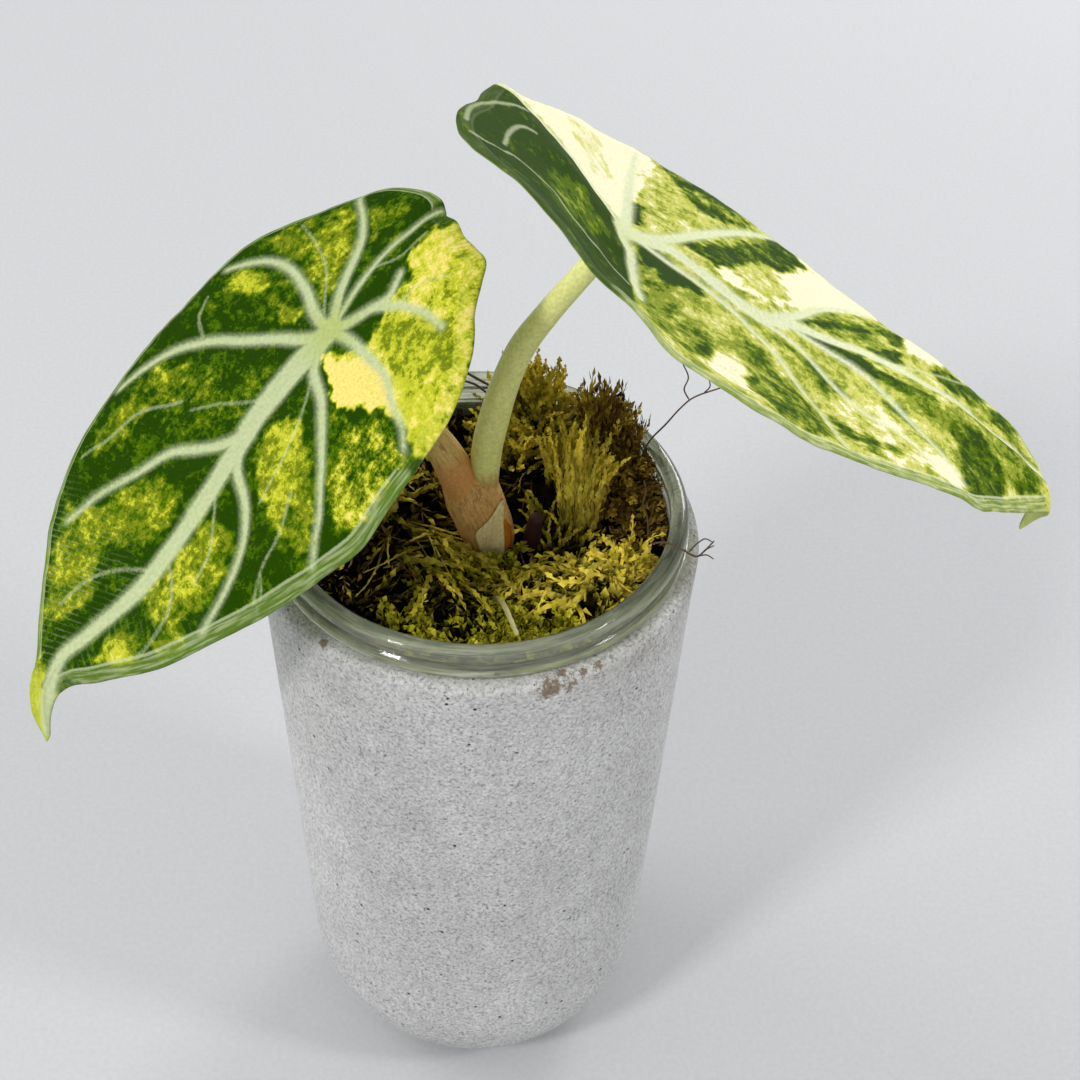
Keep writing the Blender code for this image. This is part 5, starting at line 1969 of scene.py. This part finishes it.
    def to_leaf(self, route: tuple[Station, ...], leaf: Leaf) -> tuple[Station, ...]:
        """A petiole's route with its last point just under the hub of its leaf."""
        end = np.array(leaf.hub) - leaf.axes()[2] * (self.blade_thickness + self.petiole_to_blade)
        return route + ((*(float(c) for c in end), self.petiole_tip),)

    def build_petioles(self, left: Leaf, right: Leaf) -> None:
        """Builds both petioles.

        Args:
            left: The leaf that the brown petiole carries.
            right: The leaf that the green petiole carries.
        """
        tube = Tube(self.to_leaf(self.left_route, left), 32, 0.6, relief=0.03)
        dress(tube.build("petiole_left_skin"), self.tan.material(), "petiole_tan", "petiole_left")
        tube = Tube(self.to_leaf(self.right_route, right), 32, 0.6, relief=0.015)
        dress(tube.build("petiole_right_skin"), self.green.material(), "petiole_green", "petiole_right")

    def stem_front(self, x: Array, z: Array) -> Array:
        """The y of the stem's front at places seen from the front."""
        heights = [station[2] for station in self.stem_route]
        shape = smooth_through(heights, [(s[0], s[3]) for s in self.stem_route], z)
        off = np.clip((x - shape[:, 0]) / shape[:, 1], -0.98, 0.98)
        return self.stem_route[0][1] - self.stem_flatten * shape[:, 1] * np.sqrt(1.0 - off ** 2)

    def build_stem(self) -> None:
        """Builds the stem in its dry brown sheaths, with a pale and a rusty patch in front."""
        piece = Tube(self.stem_route, 48, 0.5, self.stem_flatten, 0.07, 2.0).build("stem_skin")
        dress(piece, self.bark.material(), "stem_bark", "stem")
        piece = Flap(self.pale_flap, 0.5).build("sheath_pale_skin", self.stem_front)
        dress(piece, self.pale.material(), "stem_bark")
        piece = Flap(self.rust_flap, 0.25).build("sheath_rust_skin", self.stem_front)
        dress(piece, self.rust.material(), "stem_bark")

    def build_bits(self) -> None:
        """Builds the old stub, the twig, the dry stalk and the roots."""
        piece = Tube(self.stub_route, 20, 0.6, relief=0.12).build("stub_skin")
        dress(piece, self.purple.material(), "old_stub", "old_stub")
        piece = Tube(self.twig_route, 10, 0.6, relief=0.12, relief_size=2.0, girth=0.75).build("twig_skin")
        dress(piece, self.wood.material(), "dead_wood", "dead_twig")
        piece = Tube(self.stalk_route, 12, 0.5, girth=0.62, side=(1.0, 0.0, 0.0)).build("stalk_skin")
        dress(piece, self.straw.material(), "dry_stalk", "pale_stalk")
        skin = self.root.material()
        piece = Tube(self.rim_root_route, 8, 0.5, girth=0.5, side=(0.0, 0.0, 1.0)).build("root_rim_skin")
        dress(piece, skin, "root", "root_over_rim")
        rising = {"root_rising_skin": self.rising_root_route, "root_branch_skin": self.branch_route}
        for name, route in rising.items():
            dress(Tube(route, 8, 0.5, girth=0.42).build(name), skin, "root", "root_rising")
        for number, route in enumerate(self.fine_roots):
            piece = Tube(route, 8, 0.4, girth=0.6, side=(0.3, 0.2, 0.9)).build("root_fine_%d" % number)
            dress(piece, skin, "root")

    def build(self, left: Leaf, right: Leaf) -> None:
        """Builds every stalk.

        Args:
            left: The left leaf.
            right: The right leaf.
        """
        self.build_stem()
        self.build_petioles(left, right)
        self.build_bits()


@dataclass(frozen=True)
class Lamp:
    """One square lamp: its place, side and target in metres, its power in watts and its colour."""

    name: str
    place: Place
    size: float
    power: float
    colour: Colour
    target: Place = (0.0, 0.0, 0.15)

    def build(self) -> None:
        """Builds the lamp."""
        deselect()
        bpy.ops.object.light_add(type="AREA", location=self.place)
        lamp = bpy.context.object
        lamp.name = self.name
        lamp.data.shape = "SQUARE"
        lamp.data.size = self.size
        lamp.data.energy = self.power
        lamp.data.color = self.colour
        aim = Vector(self.target) - Vector(self.place)
        lamp.rotation_euler = aim.to_track_quat("-Z", "Y").to_euler()


@dataclass
class Studio:
    """The camera, the pale floor and the soft lights."""

    eye: Place = (0.0, -345.8, 492.0)
    yaw: float = 0.0403
    pitch: float = 0.7628
    roll: float = 0.0347
    lens: float = 70.0
    sensor: float = 36.0
    floor_side: float = 8.0
    paper: Grain = Grain(1.4, 2.0)
    paper_dark: Colour = screen(187, 188, 190)
    paper_pale: Colour = screen(193, 194, 196)
    air: Colour = (0.985, 0.99, 1.0)
    air_strength: float = 0.62
    lamps: tuple[Lamp, ...] = (
        Lamp("left_lamp", (-0.95, -0.96, 1.25), 0.24, 12.0, (1.0, 0.995, 0.98)),
        Lamp("right_lamp", (1.25, -0.50, 1.20), 0.24, 7.5, (0.99, 0.995, 1.0)),
        Lamp("window_lamp", (-1.5, 0.55, 1.3), 1.2, 12.0, (0.99, 1.0, 1.0)),
        Lamp("back_lamp", (0.75, 1.15, 0.65), 0.5, 8.0, (0.99, 0.995, 1.0), (0.0, 0.5, 0.0)),
    )

    def build_camera(self) -> None:
        """Builds the camera at the photograph's place."""
        forward = Vector((
            math.sin(self.yaw) * math.cos(self.pitch),
            math.cos(self.yaw) * math.cos(self.pitch),
            -math.sin(self.pitch),
        ))
        right = forward.cross(Vector((0.0, 0.0, 1.0))).normalized()
        up = right.cross(forward)
        across = math.cos(self.roll) * right + math.sin(self.roll) * up
        above = -math.sin(self.roll) * right + math.cos(self.roll) * up
        place = Vector(self.eye) * MM
        turn = Matrix((across, above, -forward)).transposed().to_4x4()
        bpy.ops.object.camera_add(location=place)
        camera = bpy.context.object
        camera.name = "photo_camera"
        camera.matrix_world = Matrix.Translation(place) @ turn
        camera.data.lens = self.lens
        camera.data.sensor_width = self.sensor
        camera.data.clip_start = 0.01
        camera.data.dof.use_dof = False
        bpy.context.scene.camera = camera

    def build_floor(self) -> None:
        """Builds the plain floor."""
        deselect()
        bpy.ops.mesh.primitive_plane_add(size=self.floor_side, location=(0.0, 0.0, 0.0))
        floor = bpy.context.object
        floor.name = "studio_floor"
        graph = Graph("studio_floor")
        paper = graph.noise(graph.place(), self.paper)
        colour = graph.ramp(paper, ((0.3, self.paper_dark), (0.7, self.paper_pale)))
        floor.data.materials.append(graph.finish(Base_Color=colour, Roughness=0.9))
        floor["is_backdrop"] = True

    def build(self) -> None:
        """Builds the camera, the floor and the lights."""
        self.build_camera()
        self.build_floor()
        for lamp in self.lamps:
            lamp.build()
        world = bpy.data.worlds.new("studio_air")
        bpy.context.scene.world = world
        world.use_nodes = True
        air = world.node_tree.nodes["Background"]
        air.inputs["Color"].default_value = (*self.air, 1.0)
        air.inputs["Strength"].default_value = self.air_strength
        bpy.context.scene.view_settings.view_transform = "Standard"


def corners() -> list[list[float]]:
    """Lowest and highest corner of all that shows, as plain lists."""
    return [[float(c) for c in corner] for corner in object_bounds()]


def main() -> None:
    """Builds every piece in order."""
    logging.basicConfig(level=logging.INFO, format="%(name)s: %(message)s")
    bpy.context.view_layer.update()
    Studio().build()
    left = left_leaf()
    right = right_leaf()
    cup = Cup()
    Pot().build()
    cup.build()
    MossBed(cup).build()
    Stalks().build(left, right)
    left.build()
    right.build()


if __name__ == "__main__":
    main()
